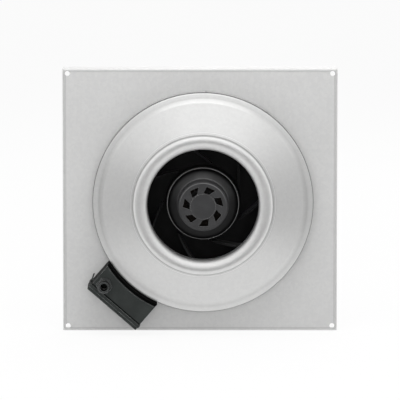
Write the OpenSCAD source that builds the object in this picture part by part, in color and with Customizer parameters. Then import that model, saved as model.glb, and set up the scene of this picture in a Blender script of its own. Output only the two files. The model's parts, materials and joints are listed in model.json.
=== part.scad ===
// Wall-mounted duct fan. A folded wall plate carries a round casing with a bell-mouth inlet,
// a wheel with backward-curved blades on an external-rotor motor, and a terminal box.
// Pieces are drawn as seen from the front, x right, y up and z towards the viewer with the
// plate's face at zero. They are then turned so that the plate stands upright and faces -Y.
// The origin is the middle of the four wall screws on the plate's face. Millimetres.

/* [Wall plate] */
// Width of the wall plate
plate_w = 415; // [400:1:440]
// Height of the wall plate
plate_h = 399; // [390:1:430]
// Sheet thickness of the wall plate
plate_t = 1; // [0.8:0.1:1.5]
// Depth of the folded edges, from the front face back to the wall
plate_depth = 30; // [22:1:45]
// Outside radius of the folded edges
fold_r = 3.5; // [2.5:0.5:6]
// Diameter of the wall screw holes
hole_d = 7.5; // [5:0.5:9]
// Distance of the screw holes from the plate's edges
hole_edge = 7.5; // [7:0.5:12]
// Width of the slits where the folded edges meet
corner_slit = 1.2; // [0.6:0.2:3]
// Distance of the fan's axis to the right of the plate's middle
fan_x = 4.5; // [0:0.5:8]

/* [Casing] */
// Diameter over the skirt of the front cover
casing_d = 333; // [327:1:345]
// Sheet thickness of the casing, nozzle and outlet pan
casing_t = 0.8; // [0.6:0.1:1.2]
// Height of the cover's outer edge above the plate
ledge_h = 32.6; // [30:0.2:42]
// Length of the skirt that fits over the casing ring
skirt_len = 6.6; // [6:0.1:10]
// Bend radius between skirt and ledge
skirt_bend = 4; // [2:0.5:4.5]
// Width of the narrow ledge
ledge_w = 8.6; // [7.6:0.2:12]
// Rise of the ledge from the skirt to the step
ledge_rise = 3; // [0:0.2:5]
// Width of the step inside the ledge
step_w = 6.5; // [5:0.5:9]
// Height of the step inside the ledge
step_h = 4.8; // [3:0.2:9]
// Rise of the cone from the step to the inlet collar
cone_h = 22.6; // [14:0.2:30]
// Height of the collar that holds the nozzle
collar_h = 6; // [4:0.5:9]
// Width of the ring's foot, measured inwards from its wall
foot_w = 15.2; // [13:0.2:17]
// Direction of the ring's butt joint, anticlockwise from the right
joint_angle = 88.4; // [60:0.2:120]
// Direction of the ring's locating slit
slit_angle = 54.2; // [20:0.2:56]
// Width of the butt joint and the slit
joint_gap = 3; // [1:0.2:4]
// Number of rivets round the foot
rivet_count = 8; // [6:1:12]
// Diameter of a rivet's shank
rivet_d = 3.2; // [2.4:0.2:4]

/* [Inlet nozzle] */
// Diameter over the rolled lip
lip_d = 211.4; // [206:0.2:218]
// Height of the lip's crest above the top of the cone
lip_h = 12.8; // [11:0.2:16]
// Outer bend radius of the lip
lip_bend = 8.2; // [6:0.2:9]
// Diameter of the throat
throat_d = 167; // [162:1:171]
// Length of the nozzle from crest to inner end
nozzle_len = 28.4; // [26:0.2:31]

/* [Outlet pan] */
// Diameter of the pan
pan_d = 292; // [286:1:296]
// Depth of the pan behind the plate
pan_depth = 28; // [25:1:34]
// Width of the flange riveted to the plate
pan_flange_w = 14; // [12:1:18]
// Bend radius at the pan's bottom
pan_bend = 5; // [3:0.5:7]
// Diameter of the outlet spigot
spigot_d = 249; // [240:1:260]
// Length of the spigot behind the pan
spigot_len = 51; // [35:1:80]
// Height of the stop shoulder at the spigot's root
stop_h = 2.2; // [1.4:0.2:3]
// Length of the neck between pan and stop shoulder
neck_len = 8; // [6:0.5:12]

/* [Fan wheel] */
// Outer diameter of the wheel
wheel_d = 252; // [251:1:262]
// Wall of the back disc, hub sleeve and shroud
wheel_t = 1.8; // [1.4:0.2:2.4]
// Gap between the plate's face and the back disc
wheel_gap = 3; // [2:0.5:6]
// Length of the hub sleeve
hub_len = 38; // [30:1:40]
// Number of blades
blade_count = 7; // [5:1:11]
// Thickness of a blade
blade_t = 2.4; // [1.6:0.2:3.2]
// Distance from the hub sleeve to the blades' inner ends
blade_start = 6; // [5:0.5:9]
// Angle between blade and circle at the inner end
blade_in_angle = 32; // [27:1:37]
// Angle between blade and circle at the outer end
blade_out_angle = 45; // [41:1:50]
// Direction of a blade where it crosses the middle of the inlet
blade_turn = 41.5; // [0:0.5:51]
// Height of a blade's inner end above the back disc
blade_in_h = 29; // [20:1:32]
// Running gap between nozzle and shroud
eye_gap = 1.5; // [1:0.1:2.4]
// Length of nozzle inside the shroud
eye_overlap = 9.5; // [6:0.5:11]
// Length of the shroud's straight eye
eye_len = 7.5; // [7:0.5:9]
// Fall of the shroud from its eye to its rim
shroud_drop = 7; // [3:0.5:12]

/* [Motor] */
// Distance of the motor's mounting face behind the plate's face
motor_drop = 12; // [10:0.5:13]
// Thickness of the motor flange
flange_t = 4; // [3:0.5:6]
// Diameter of the motor flange
flange_d = 92; // [88:1:96]
// Diameter of the bearing tube
tube_d = 32; // [30:0.5:36]
// Diameter of the stator
stator_d = 84; // [80:1:88]
// Height of the stator's stack
stack_h = 40; // [34:1:42]
// Height of the winding heads
winding_h = 9; // [7:0.5:11]
// Number of stator slots
slot_count = 12; // [8:2:18]
// Air gap between stator and rotor
air_gap = 0.5; // [0.3:0.1:1]
// Thickness of the rotor's core ring
core_t = 8; // [6:0.5:9]
// Wall of the rotor bell
rotor_t = 2.5; // [2:0.1:3]
// Bend radius of the rotor's shoulder
shoulder_bend = 9.5; // [7:0.5:10]
// Rise of the shoulder above the stack
shoulder_rise = 16; // [14:0.5:20]
// Drop of the shoulder from the drum to the rotor's wall
shoulder_drop = 4.4; // [0:0.2:4.6]
// Height of the rotor's front drum
drum_h = 24; // [20:1:30]
// Width of the shoulder between the rotor's wall and the drum
shoulder_w = 14.5; // [13:0.5:17]
// Taper of the drum, on its radius
drum_taper = 1.3; // [0.6:0.1:2.4]
// Number of air slots in the face
vent_count = 7; // [5:1:9]
// Inner radius of the air slots
vent_in_r = 20.3; // [19.6:0.1:22]
// Outer radius of the air slots
vent_out_r = 30.4; // [26:0.2:31]
// Width of an air slot, as an angle
vent_angle = 27; // [14:1:30]
// Turn of a slot's outer end against its inner end
vent_skew = -11; // [-14:0.5:14]
// Direction of the first air slot
vent_turn = 24.8; // [0:0.1:51]
// Diameter of the shaft
shaft_d = 10; // [8:0.5:10.5]
// Outer diameter of the bearings
bearing_d = 26; // [25:0.5:27]
// Width of the bearings
bearing_w = 8; // [7:0.5:9]
// Number of balls in a bearing
ball_count = 7; // [6:1:8]

/* [Motor bracket] */
// Sheet thickness of the bracket
bracket_t = 2; // [1.5:0.1:2.5]
// Width of an arm
arm_w = 26; // [20:1:28]
// Number of arms
arm_count = 4; // [3:1:4]
// Diameter of the opening in the middle
bracket_hole_d = 36; // [32:1:40]
// Diameter of the bracket screws
bracket_screw_d = 5; // [4:0.5:6]
// Diameter of the motor screws
motor_screw_d = 4; // [3:0.5:5]

/* [Terminal box] */
// Direction of the terminal box, anticlockwise from the right
box_angle = 229; // [210:0.5:240]
// Length of the box along the casing
box_w = 94.5; // [91:0.5:100]
// Depth of the box from back to front
box_depth = 57; // [54:0.5:66]
// Gap between the plate and the box
box_gap = 3; // [2:0.5:6]
// Distance from the casing's skirt to the box's rim
box_h = 32.7; // [31:0.1:40]
// Wall of the box
box_wall = 2.2; // [1.8:0.1:2.6]
// Gap between the skirt and the box's concave front edge
box_standoff = 4.1; // [2:0.1:5]
// Bevel of the concave front edge
box_bevel = 0.9; // [0.4:0.1:1.4]
// Height of the lid
lid_h = 9.5; // [7:0.1:12]
// How far the lid overhangs the box at each end
lid_over = 1.9; // [1:0.1:3]
// Inset of the lid's upper half
lid_inset = 1.2; // [0.6:0.1:2]
// Thickness of the lid's seal
seal_t = 1.6; // [1:0.1:2.2]
// Length of the lid's latch tab
latch_len = 12.9; // [8:0.1:16]
// Thickness of the latch tab
latch_t = 1.8; // [1.2:0.1:2.4]
// Width of the latch tab
latch_w = 18; // [10:1:30]
// Angle of the latch tab from the box's end wall
latch_angle = 21; // [12:1:30]

/* [Cable entry] */
// Distance of the gland from the casing's skirt
gland_out = 23.5; // [22.5:0.1:24]
// Distance of the gland from the middle of the box
gland_side = 31.7; // [30:0.1:33]
// Diameter of the gland's thread
gland_thread_d = 16; // [15:0.5:16.5]
// Bore of the relaxed seal
gland_bore_d = 10; // [7:0.5:10.5]
// Opening in the front of the gland nut
gland_mouth_d = 11.6; // [11:0.1:12.2]
// Width across the flats of the gland body
gland_flats = 22; // [20:0.5:23]
// Diameter of the motor lead
lead_d = 6; // [5:0.5:6]
// Height of the lead's way out above the plate
lead_z = 15.5; // [15:0.1:15.6]

/* [Hidden] */
$fn = 96;

// Finishes
steel = "gainsboro";
bright = "silver";
black = "dimgray";
dark = "slategray";
alloy = "lightgray";
copper = "peru";
rubber = "darkslategray";
brass = "goldenrod";
cream = "ivory";

// Clearances and small sizes that several pieces share
fit = 0.1;
press = 0.02;
run = 0.05;
seat = 0.3;
over = 1;
screw_gap = 0.05;
bend_steps = 6;
lip_steps = 10;
hex = 6;

// Screws and rivets, as shares of the shank's diameter
head_reach = 0.95;
head_rise = 0.55;
drive_w = 0.22;
rivet_rise = 0.36;
rivet_crown = 0.6;
tail_reach = 0.8;
tail_rise = 0.4;

// Casing, measured on the middle of the sheet
skirt_r = casing_d / 2 - casing_t / 2;
ledge_z = ledge_h - casing_t / 2;
skirt_z = ledge_h - skirt_len;
ledge_in_r = skirt_r - ledge_w;
step_r = ledge_in_r - step_w;
step_z = ledge_z + ledge_rise + step_h;
cone_z = step_z + cone_h;
lip_r = lip_d / 2 - casing_t / 2;
collar_fit = 0.2;
collar_r = lip_r - casing_t - collar_fit;
ledge_bend = 8;
step_bend = 10;
collar_bend = 2;
ring_r = skirt_r - casing_t - fit;
ring_out_r = ring_r + casing_t / 2;
ring_top = ledge_z - skirt_bend - fit;
ring_bend = 2;
rivet_out = 9;
rivet_r = pan_d / 2 + rivet_out;

// Nozzle and outlet
seam_gap = 1;
lip_flat = 0.2;
lip_z = cone_z + lip_h;
throat_r = throat_d / 2 + casing_t / 2;
throat_z = lip_z - nozzle_len;
lip_in_bend = lip_r - throat_r - lip_bend - lip_flat;
pan_r = pan_d / 2 - casing_t / 2;
pan_top = -plate_t - casing_t / 2;
pan_z = -plate_t - pan_depth + casing_t / 2;
spigot_r = spigot_d / 2 - casing_t / 2;
stop_bend = 1.2;
neck_r = spigot_r + stop_h;
neck_z = pan_z - pan_bend - neck_len;

// Motor, from its mounting face forwards
mount_z = -motor_drop;
flange_z = mount_z + flange_t;
winding_gap = 1;
tube_rise = 16;
rotor_clear = 5;
stack_z = flange_z + winding_gap + winding_h;
stack_top = stack_z + stack_h;
tube_top = stack_top + tube_rise;
rotor_rear_z = flange_z + rotor_clear;
rotor_d = stator_d + 2 * (air_gap + core_t + press + rotor_t);
drum_d = rotor_d - 2 * shoulder_w;
face_d = drum_d - 2 * drum_taper;
shoulder_z = stack_top + shoulder_rise - rotor_t / 2;
face_z = stack_top + shoulder_rise + drum_h;
rotor_r = rotor_d / 2 - rotor_t / 2;
drum_r = drum_d / 2 - rotor_t / 2;
face_r = face_d / 2 - rotor_t / 2;
face_root_bend = 1.4;
face_bend = 2.2;
face_web = 1.4;
face_cap_r = vent_in_r - face_web;
face_cap_h = 0.6;
shaft_r = shaft_d / 2;
washer_t = 1.4;
washer_w = 2.6;
boss_wall = 7;
boss_r = shaft_r + boss_wall;
boss_z = tube_top + run + washer_t;
shaft_top = face_z - rotor_t - over;
circlip_t = 1.1;
circlip_w = 2.4;
circlip_mouth = 0.8;
groove_depth = 0.5;
circlip_z = mount_z - run - circlip_t;
shaft_tail = 2;
shaft_rear = circlip_z - shaft_tail;
bearing_step = 2;
tube_bore_r = bearing_d / 2 - bearing_step;
motor_screw_count = 4;
motor_screw_turn = box_angle + 180 / motor_screw_count;
screw_edge = 8;
screw_circle_r = flange_d / 2 - screw_edge;
screw_blind = 0.5;
lead_inset = 12;
lead_circle_r = stator_d / 2 - lead_inset;
slot_share = 0.34;
mouth_share = 0.34;
yoke_w = 7;
tooth_tip = 3;
cage_h = 2;
ball_share = 0.27;
race_share = 0.3;

// Wheel
disc_z = wheel_gap + wheel_t / 2;
hub_top = wheel_gap + hub_len;
hub_r = rotor_d / 2 + fit + wheel_t / 2;
hub_bend = 3.5;
eye_r = throat_d / 2 + casing_t + eye_gap + wheel_t / 2;
eye_top = throat_z + eye_overlap;
eye_z = eye_top - eye_len;
eye_bend = 8;
weld_gap = 0.05;
retainer_w = 1.1;
retainer_t = 1.2;
shroud_points = [[eye_r, eye_top], [eye_r, eye_z], [wheel_d / 2, eye_z - shroud_drop]];
blade_in_r = hub_r + blade_start;
blade_out_r = wheel_d / 2;
tip_inset = 0.6;
blade_r = (pow(blade_out_r, 2) - pow(blade_in_r, 2))
    / (2 * (blade_out_r * cos(blade_out_angle) - blade_in_r * cos(blade_in_angle)));
blade_centre = sqrt(pow(blade_in_r, 2) + pow(blade_r, 2)
    - 2 * blade_in_r * blade_r * cos(blade_in_angle));
inlet_mid_r = (throat_d / 2 + blade_in_r) / 2;
blade_mid_angle = acos((pow(inlet_mid_r, 2) + pow(blade_centre, 2) - pow(blade_r, 2))
    / (2 * inlet_mid_r * blade_centre));

// Bracket
bracket_z = mount_z - bracket_t / 2;
tab_r = pan_r - casing_t / 2 - fit - bracket_t / 2;
tab_z = pan_z + pan_bend + over;
bracket_bend = 3;
tab_drop = 0.5;
bracket_screw_z = (bracket_z + tab_z) / 2 - tab_drop;
screw_tip = 4;

// Terminal box, along its own radius
skirt_out_r = casing_d / 2;
saddle_r = ring_out_r + fit;
saddle_top = skirt_z - seat;
stand_r = skirt_out_r + box_standoff;
rim_x = skirt_out_r + box_h;
box_front = box_gap + box_depth;
root_share = 0.9;
box_root = saddle_r * root_share;
lid_x = rim_x + seal_t + run;
lid_top = lid_x + lid_h;
lid_front = box_front - seat;
lid_back = box_gap - over;
lid_wall = 2;
lid_bevel = 0.8;
seal_inset = 0.8;
foam_set = 2;
floor_r = saddle_r + box_wall;
box_screw_edge = 9.5;
box_screw_rise = 10;
box_screw_y = box_w / 2 - box_screw_edge;
box_screw_z = box_gap + box_screw_rise;
box_screw_d = 4;
box_screw_l = 10;
box_boss_r = 5;
box_boss_h = 2.5;
box_boss_x = sqrt(pow(floor_r, 2) - pow(box_screw_y, 2)) + box_boss_h;

// Terminal block, standing on its pad
pad_t = 2;
pad_x = floor_r + pad_t;
block_l = 32;
block_h = 14;
block_w = 16;
block_y = -4;
block_lift = 2;
block_z = box_gap + box_wall + block_lift;
block_base_h = 8.4;
block_ridge_w = 10.2;
pole_count = 4;
pole_pitch = block_l / pole_count;
pole_r = 2;
pole_rise = 6.3;
pole_len = 5.9;
pole_spread = 2.9;
pole_slot_w = 0.7;
pole_slot_h = 1.6;
wire_d = 3.2;
wire_rise = 4.5;
wire_depth = 4;

// Capacitor and earth screw
cap_r = 12;
cap_l = 52;
cap_y = 12;
cap_gap = 2;
cap_lift = 1.5;
cap_rim = 1;
cap_rim_h = 3;
cap_stud_r = 4.8;
cap_stud_h = 1.5;
cap_rib_t = 3;
cap_z = box_front - box_wall - cap_r - cap_gap;
cap_x = stand_r + box_wall + cap_r + cap_lift;
earth_gap = 6;
earth_y = block_y - block_l / 2 - earth_gap;
earth_z = block_z + block_w / 2;
earth_d = 3.2;
earth_l = 4;
earth_boss_r = 4.5;
earth_washer_r = 4.2;
earth_washer_t = 0.8;

// Cable gland
gland_x = skirt_out_r + gland_out;
gland_y = -gland_side;
gland_thread_r = gland_thread_d / 2;
gland_relief = 0.4;
gland_neck_r = gland_thread_r - gland_relief;
gland_neck_h = 11;
gland_boss_h = 9;
gland_boss_wall = 2.6;
gland_boss_z = box_front - gland_boss_h;
gland_hex_h = 5;
gland_nut_z = box_front + gland_hex_h + seat;
gland_nut_h = 12.7;
gland_nut_end = 3;
gland_grip_h = 5.7;
gland_step = 1;
gland_rim = 2.4;
gland_seal_wall = 0.8;
gland_seal_h = 9;
gland_seal_r = gland_mouth_d / 2 + gland_seal_wall;

// Motor lead: turn away from the arm, and its route in the terminal box's frame
lead_turn = 7.3;
lead_gap = 0.5;
grommet_wall = 2.4;
grommet_lip = 2;
grommet_hole_r = lead_d / 2 + grommet_wall;
grommet_r = grommet_hole_r + grommet_lip;
grommet_t = 1.6;
lead_points = [[30, 0, -7.2], [30, 0, -13], [32.5, 0, -18.5], [39, 0, -21], [50, 0, -19.6],
    [62, 0, -17.7], [80, 0, -17.5], [100, 0, -17.5], [110, 3.5, -17.6], [118, 10, -17.8],
    [125, 16.4, -17.4], [131, 17.8, -13], [135, 17.6, -6], [137, 17.5, 0], [138.2, 17.7, 6],
    [142, 18.2, 11.8], [149, 19, 14.9], [158, 20.1, lead_z], [166, 21.2, lead_z], [173, 21.3, lead_z],
    [178, 18.6, lead_z], [179, 12.9, lead_z]];
lead_sides = 10;
steep = 0.9;
tie_r = 90;
tie_w = 3.6;
tie_t = 1.2;

// A flat sheet's section: its middle line through points, bent to radii, and its thickness
function unit(v) = v / norm(v);
function left(v) = [-v[1], v[0]];
function turned(v, a) = [v[0] * cos(a) - v[1] * sin(a), v[0] * sin(a) + v[1] * cos(a)];
function bend_line(a, b, c, r, steps) =
    let (d1 = unit(b - a), d2 = unit(c - b))
    let (turn = atan2(cross(d1, d2), d1 * d2), side = sign(turn))
    let (centre = b - d1 * r * tan(abs(turn) / 2) + left(d1) * r * side)
    [for (i = [0 : steps]) let (n = turned(left(d1), turn * i / steps)) [centre - n * r * side, n]];
function sheet_line(points, radii, steps) =
    let (last = len(points) - 1)
    concat(
        [[points[0], left(unit(points[1] - points[0]))]],
        [for (i = [1 : last - 1])
            each bend_line(points[i - 1], points[i], points[i + 1], radii[i - 1], steps)],
        [[points[last], left(unit(points[last] - points[last - 1]))]]);
function sheet_outline(points, radii, t, steps) =
    let (line = sheet_line(points, radii, steps), last = len(line) - 1)
    concat(
        [for (s = line) s[0] + s[1] * t / 2],
        [for (i = [last : -1 : 0]) line[i][0] - line[i][1] * t / 2]);
function polar(r, a) = [r * cos(a), r * sin(a)];

module spun_sheet(points, radii, t, steps = bend_steps) {
    rotate_extrude() polygon(sheet_outline(points, radii, t, steps));
}

// Frames: the plate's, the fan's and the terminal box's own radius
module plate_frame() {
    rotate([90, 0, 0]) children();
}

module fan_frame() {
    translate([fan_x, 0, 0]) rotate([90, 0, 0]) children();
}

module box_frame() {
    fan_frame() rotate([0, 0, box_angle]) children();
}

module around(count, first = 0) {
    for (i = [0 : count - 1]) rotate([0, 0, first + 360 * i / count]) children();
}

module ring(r_out, r_in, h) {
    difference() {
        cylinder(r = r_out, h = h);
        translate([0, 0, -over]) cylinder(r = r_in, h = h + 2 * over);
    }
}

// A cylinder along +x from x to x + l
module along_x(x, y, z, r, l) {
    translate([x, y, z]) rotate([0, 90, 0]) cylinder(r = r, h = l);
}

// Screw with a domed head at zero, shank towards -z
module pan_screw(d, shank) {
    head_r = d * head_reach;
    head_h = d * head_rise;
    dome_r = (pow(head_r, 2) + pow(head_h, 2)) / (2 * head_h);
    difference() {
        intersection() {
            translate([0, 0, head_h - dome_r]) sphere(r = dome_r);
            cylinder(r = head_r, h = head_h);
        }
        for (a = [0, 90]) rotate([0, 0, a]) translate([0, 0, head_h])
            cube([head_r + screw_gap, d * drive_w, head_h], center = true);
    }
    translate([0, 0, -shank]) cylinder(r = d / 2, h = shank + head_h / 4);
}

// Round-topped section of the folded plate
module fold_section(w, top, r) {
    translate([-w / 2, -plate_depth - over]) square([w, plate_depth + over + top - r]);
    translate([-w / 2 + r, top - r]) square([w - 2 * r, r]);
    for (s = [-1, 1]) translate([s * (w / 2 - r), top - r]) circle(r = r);
}

module folded_form(inset) {
    w = plate_w - 2 * inset;
    h = plate_h - 2 * inset;
    r = fold_r - inset;
    intersection() {
        rotate([90, 0, 0]) linear_extrude(plate_h, center = true) fold_section(w, -inset, r);
        rotate([90, 0, 90]) linear_extrude(plate_w, center = true) fold_section(h, -inset, r);
    }
}

module rivet_holes() {
    around(rivet_count, 180 / rivet_count) translate([rivet_r, 0, -plate_depth])
        cylinder(r = rivet_d / 2 + screw_gap, h = 2 * plate_depth);
}

module wall_plate() color(steel) plate_frame() difference() {
    folded_form(0);
    folded_form(plate_t);
    translate([-plate_w, -plate_h, -plate_depth - 3 * over])
        cube([2 * plate_w, 2 * plate_h, 3 * over]);
    for (sx = [-1, 1], sy = [-1, 1]) {
        translate([sx * (plate_w / 2 - hole_edge), sy * (plate_h / 2 - hole_edge), -fold_r])
            cylinder(d = hole_d, h = 2 * fold_r);
        translate([sx * plate_w / 2, sy * plate_h / 2, -plate_depth / 2 - fold_r - over])
            rotate([0, 0, sx * sy * 45]) cube([4 * fold_r, corner_slit, plate_depth], center = true);
    }
    translate([fan_x, 0, -fold_r]) cylinder(r = pan_r, h = 2 * fold_r);
    translate([fan_x, 0, 0]) rivet_holes();
}

module casing_ring() color(steel) fan_frame() difference() {
    spun_sheet([[ring_r - foot_w, casing_t / 2], [ring_r, casing_t / 2], [ring_r, ring_top]],
        [ring_bend], casing_t);
    for (a = [joint_angle, slit_angle]) rotate([0, 0, a])
        translate([ring_r - ring_bend, -joint_gap / 2, casing_t + ring_bend])
        cube([2 * ring_bend + over, joint_gap, ring_top]);
    rivet_holes();
    rotate([0, 0, box_angle]) box_screw_holes();
    rotate([0, 0, box_angle + lead_turn])
        along_x(ring_r - foot_w / 2, 0, lead_z, grommet_hole_r, foot_w);
}

module casing_front() color(bright) fan_frame() spun_sheet(
    [[skirt_r, skirt_z], [skirt_r, ledge_z], [ledge_in_r, ledge_z + ledge_rise], [step_r, step_z],
        [collar_r, cone_z], [collar_r, cone_z + collar_h]],
    [skirt_bend, ledge_bend, step_bend, collar_bend], casing_t);

module inlet_nozzle() color(bright) fan_frame() spun_sheet(
    [[lip_r, cone_z + seam_gap], [lip_r, lip_z], [throat_r, lip_z], [throat_r, throat_z]],
    [lip_bend, lip_in_bend], casing_t, lip_steps);

module outlet_pan() color(steel) fan_frame() difference() {
    spun_sheet(
        [[pan_r + pan_flange_w, pan_top], [pan_r, pan_top], [pan_r, pan_z], [neck_r, pan_z],
            [neck_r, neck_z], [spigot_r, neck_z - stop_h], [spigot_r, pan_z - spigot_len]],
        [ring_bend, pan_bend, pan_bend - over, stop_bend, stop_bend], casing_t);
    rivet_holes();
    around(arm_count, box_angle)
        along_x(tab_r, 0, bracket_screw_z, bracket_screw_d / 2 + screw_gap, 3 * bracket_t);
}

module pan_rivets() color(alloy) fan_frame() around(rivet_count, 180 / rivet_count)
    translate([rivet_r, 0, 0]) {
        tail_z = pan_top - casing_t / 2;
        head_h = rivet_d * rivet_rise;
        tail_h = rivet_d * tail_rise;
        translate([0, 0, casing_t]) cylinder(r1 = rivet_d, r2 = rivet_d * rivet_crown, h = head_h);
        translate([0, 0, tail_z]) cylinder(d = rivet_d, h = casing_t - tail_z + head_h / 2);
        translate([0, 0, tail_z - tail_h]) cylinder(r = rivet_d * tail_reach, h = tail_h);
    }

// Motor support
module motor_bracket() color(steel) fan_frame() difference() {
    intersection() {
        spun_sheet([[bracket_hole_d / 2, bracket_z], [tab_r, bracket_z], [tab_r, tab_z]],
            [bracket_bend], bracket_t);
        translate([0, 0, pan_z]) linear_extrude(pan_depth) {
            circle(d = flange_d);
            around(arm_count, box_angle) translate([0, -arm_w / 2]) square([pan_d, arm_w]);
        }
    }
    motor_screw_holes(motor_screw_d / 2 + screw_gap);
    lead_hole();
    around(arm_count, box_angle)
        along_x(tab_r - bracket_t, 0, bracket_screw_z, bracket_screw_d / 2 + screw_gap, 2 * bracket_t);
}

module bracket_screws() color(alloy) fan_frame() around(arm_count, box_angle)
    translate([pan_r + casing_t / 2, 0, bracket_screw_z]) rotate([0, 90, 0])
        pan_screw(bracket_screw_d, casing_t + bracket_t + screw_tip);

module motor_screw_holes(r) {
    around(motor_screw_count, motor_screw_turn)
        translate([screw_circle_r, 0, pan_z]) cylinder(r = r, h = pan_depth);
}

module lead_hole() {
    rotate([0, 0, box_angle]) translate([lead_circle_r, 0, pan_z])
        cylinder(r = lead_d / 2 + over, h = pan_depth);
}

module motor_screws() color(alloy) fan_frame() around(motor_screw_count, motor_screw_turn)
    translate([screw_circle_r, 0, mount_z - bracket_t]) rotate([180, 0, 0])
        pan_screw(motor_screw_d, bracket_t + flange_t - screw_blind);

module motor_flange() color(alloy) fan_frame() difference() {
    bearing_r = bearing_d / 2 + press;
    rotate_extrude() difference() {
        union() {
            translate([0, mount_z]) square([flange_d / 2, flange_t]);
            translate([0, mount_z]) square([tube_d / 2, tube_top - mount_z]);
        }
        translate([-over, mount_z - over]) square([tube_bore_r + over, tube_top - mount_z + 2 * over]);
        translate([0, mount_z - over]) square([bearing_r, bearing_w + over]);
        translate([0, tube_top - bearing_w]) square([bearing_r, bearing_w + over]);
    }
    motor_screw_holes(motor_screw_d / 2 + screw_gap);
    lead_hole();
}

// Stator
module stator_core() color(dark) fan_frame() translate([0, 0, stack_z]) linear_extrude(stack_h)
    difference() {
        circle(d = stator_d);
        circle(d = tube_d + 2 * press);
        around(slot_count) stator_slot(0);
    }

module stator_slot(inset) {
    slot_w = PI * stator_d / slot_count * slot_share - 2 * inset;
    mouth_w = slot_w * mouth_share;
    root_r = tube_d / 2 + yoke_w + inset;
    tip_r = stator_d / 2 - tooth_tip - inset;
    translate([root_r, -slot_w / 2]) square([tip_r - root_r, slot_w]);
    translate([tip_r - over, -mouth_w / 2]) square([inset > 0 ? over : stator_d, mouth_w]);
}

module stator_winding() color(copper) fan_frame() {
    root_r = tube_d / 2 + yoke_w + seat;
    head_w = stator_d / 2 - tooth_tip - seat - root_r;
    for (z = [stack_z - winding_h, stack_top]) translate([0, 0, z])
        ring(root_r + head_w, root_r, winding_h);
    translate([0, 0, stack_z - over]) linear_extrude(stack_h + 2 * over)
        around(slot_count) stator_slot(seat);
}

// Ball bearing standing on z
module bearing(z) {
    in_r = shaft_r + run;
    out_r = bearing_d / 2;
    track_r = (in_r + out_r) / 2;
    ball_r = (out_r - in_r) * ball_share;
    race_w = (out_r - in_r) * race_share;
    translate([0, 0, z]) {
        rotate_extrude() difference() {
            for (x = [in_r, out_r - race_w]) translate([x, 0]) square([race_w, bearing_w]);
            translate([track_r, bearing_w / 2]) circle(r = ball_r + run);
        }
        around(ball_count) translate([track_r, 0, bearing_w / 2]) sphere(r = ball_r);
    }
}

module front_bearing() color(bright) fan_frame() bearing(tube_top - bearing_w);

module rear_bearing() color(bright) fan_frame() bearing(mount_z);

// Motor lead, swept round along its route
function path_way(p, i) = unit(p[min(i + 1, len(p) - 1)] - p[max(i - 1, 0)]);
function tube_ring(p, i, r, sides) =
    let (way = path_way(p, i), up = abs(way[1]) > steep ? [0, 0, 1] : [0, 1, 0])
    let (across = unit(cross(up, way)), along = cross(way, across))
    [for (k = [0 : sides - 1]) p[i] + r * (cos(360 * k / sides) * across + sin(360 * k / sides) * along)];

module swept_tube(p, r, sides) {
    last = len(p) - 1;
    rings = [for (i = [0 : last]) each tube_ring(p, i, r, sides)];
    skins = [for (i = [0 : last - 1], k = [0 : sides - 1])
        let (a = i * sides + k, b = i * sides + (k + 1) % sides) [a, a + sides, b + sides, b]];
    ends = [[for (k = [0 : sides - 1]) k], [for (k = [sides - 1 : -1 : 0]) last * sides + k]];
    polyhedron(points = rings, faces = concat(skins, ends), convexity = 6);
}

module motor_lead() color(rubber) box_frame() swept_tube(lead_points, lead_d / 2, lead_sides);

module lead_grommet() color(rubber) fan_frame() rotate([0, 0, box_angle + lead_turn])
    translate([ring_r, 0, lead_z]) rotate([0, 90, 0]) rotate_extrude() difference() {
        union() {
            translate([0, -casing_t / 2 - seat - grommet_t]) square([grommet_r, grommet_t]);
            translate([0, casing_t / 2 + seat]) square([grommet_r, grommet_t]);
            translate([0, -casing_t / 2 - seat - over])
                square([grommet_hole_r - fit, casing_t + 2 * (seat + over)]);
        }
        translate([-over, -bearing_w]) square([lead_d / 2 + seat + over, 2 * bearing_w]);
    }

// Tie round the arm and the lead
module tie_section(g) {
    low = mount_z - bracket_t - lead_gap - lead_d - fit - g;
    side = arm_w / 2 + fit + g;
    waist = lead_d / 2 + fit + g;
    polygon([[-side, mount_z + fit + g], [side, mount_z + fit + g], [side, mount_z - bracket_t - fit],
        [waist, low], [-waist, low], [-side, mount_z - bracket_t - fit]]);
}

module lead_tie() color(black) box_frame() translate([tie_r, 0, 0]) rotate([90, 0, 90])
    linear_extrude(tie_w) difference() {
        tie_section(tie_t);
        tie_section(0);
    }

// Terminal box
module box_screw_holes() {
    for (s = [-1, 1])
        along_x(box_root, s * box_screw_y, box_screw_z, box_screw_d / 2 + screw_gap, box_h);
}

module box_saddle(grow) {
    translate([0, 0, -over]) cylinder(r = saddle_r + grow, h = 2 * box_depth);
    translate([0, 0, saddle_top - grow]) cylinder(r = stand_r + grow, h = 2 * box_depth);
}

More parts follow.
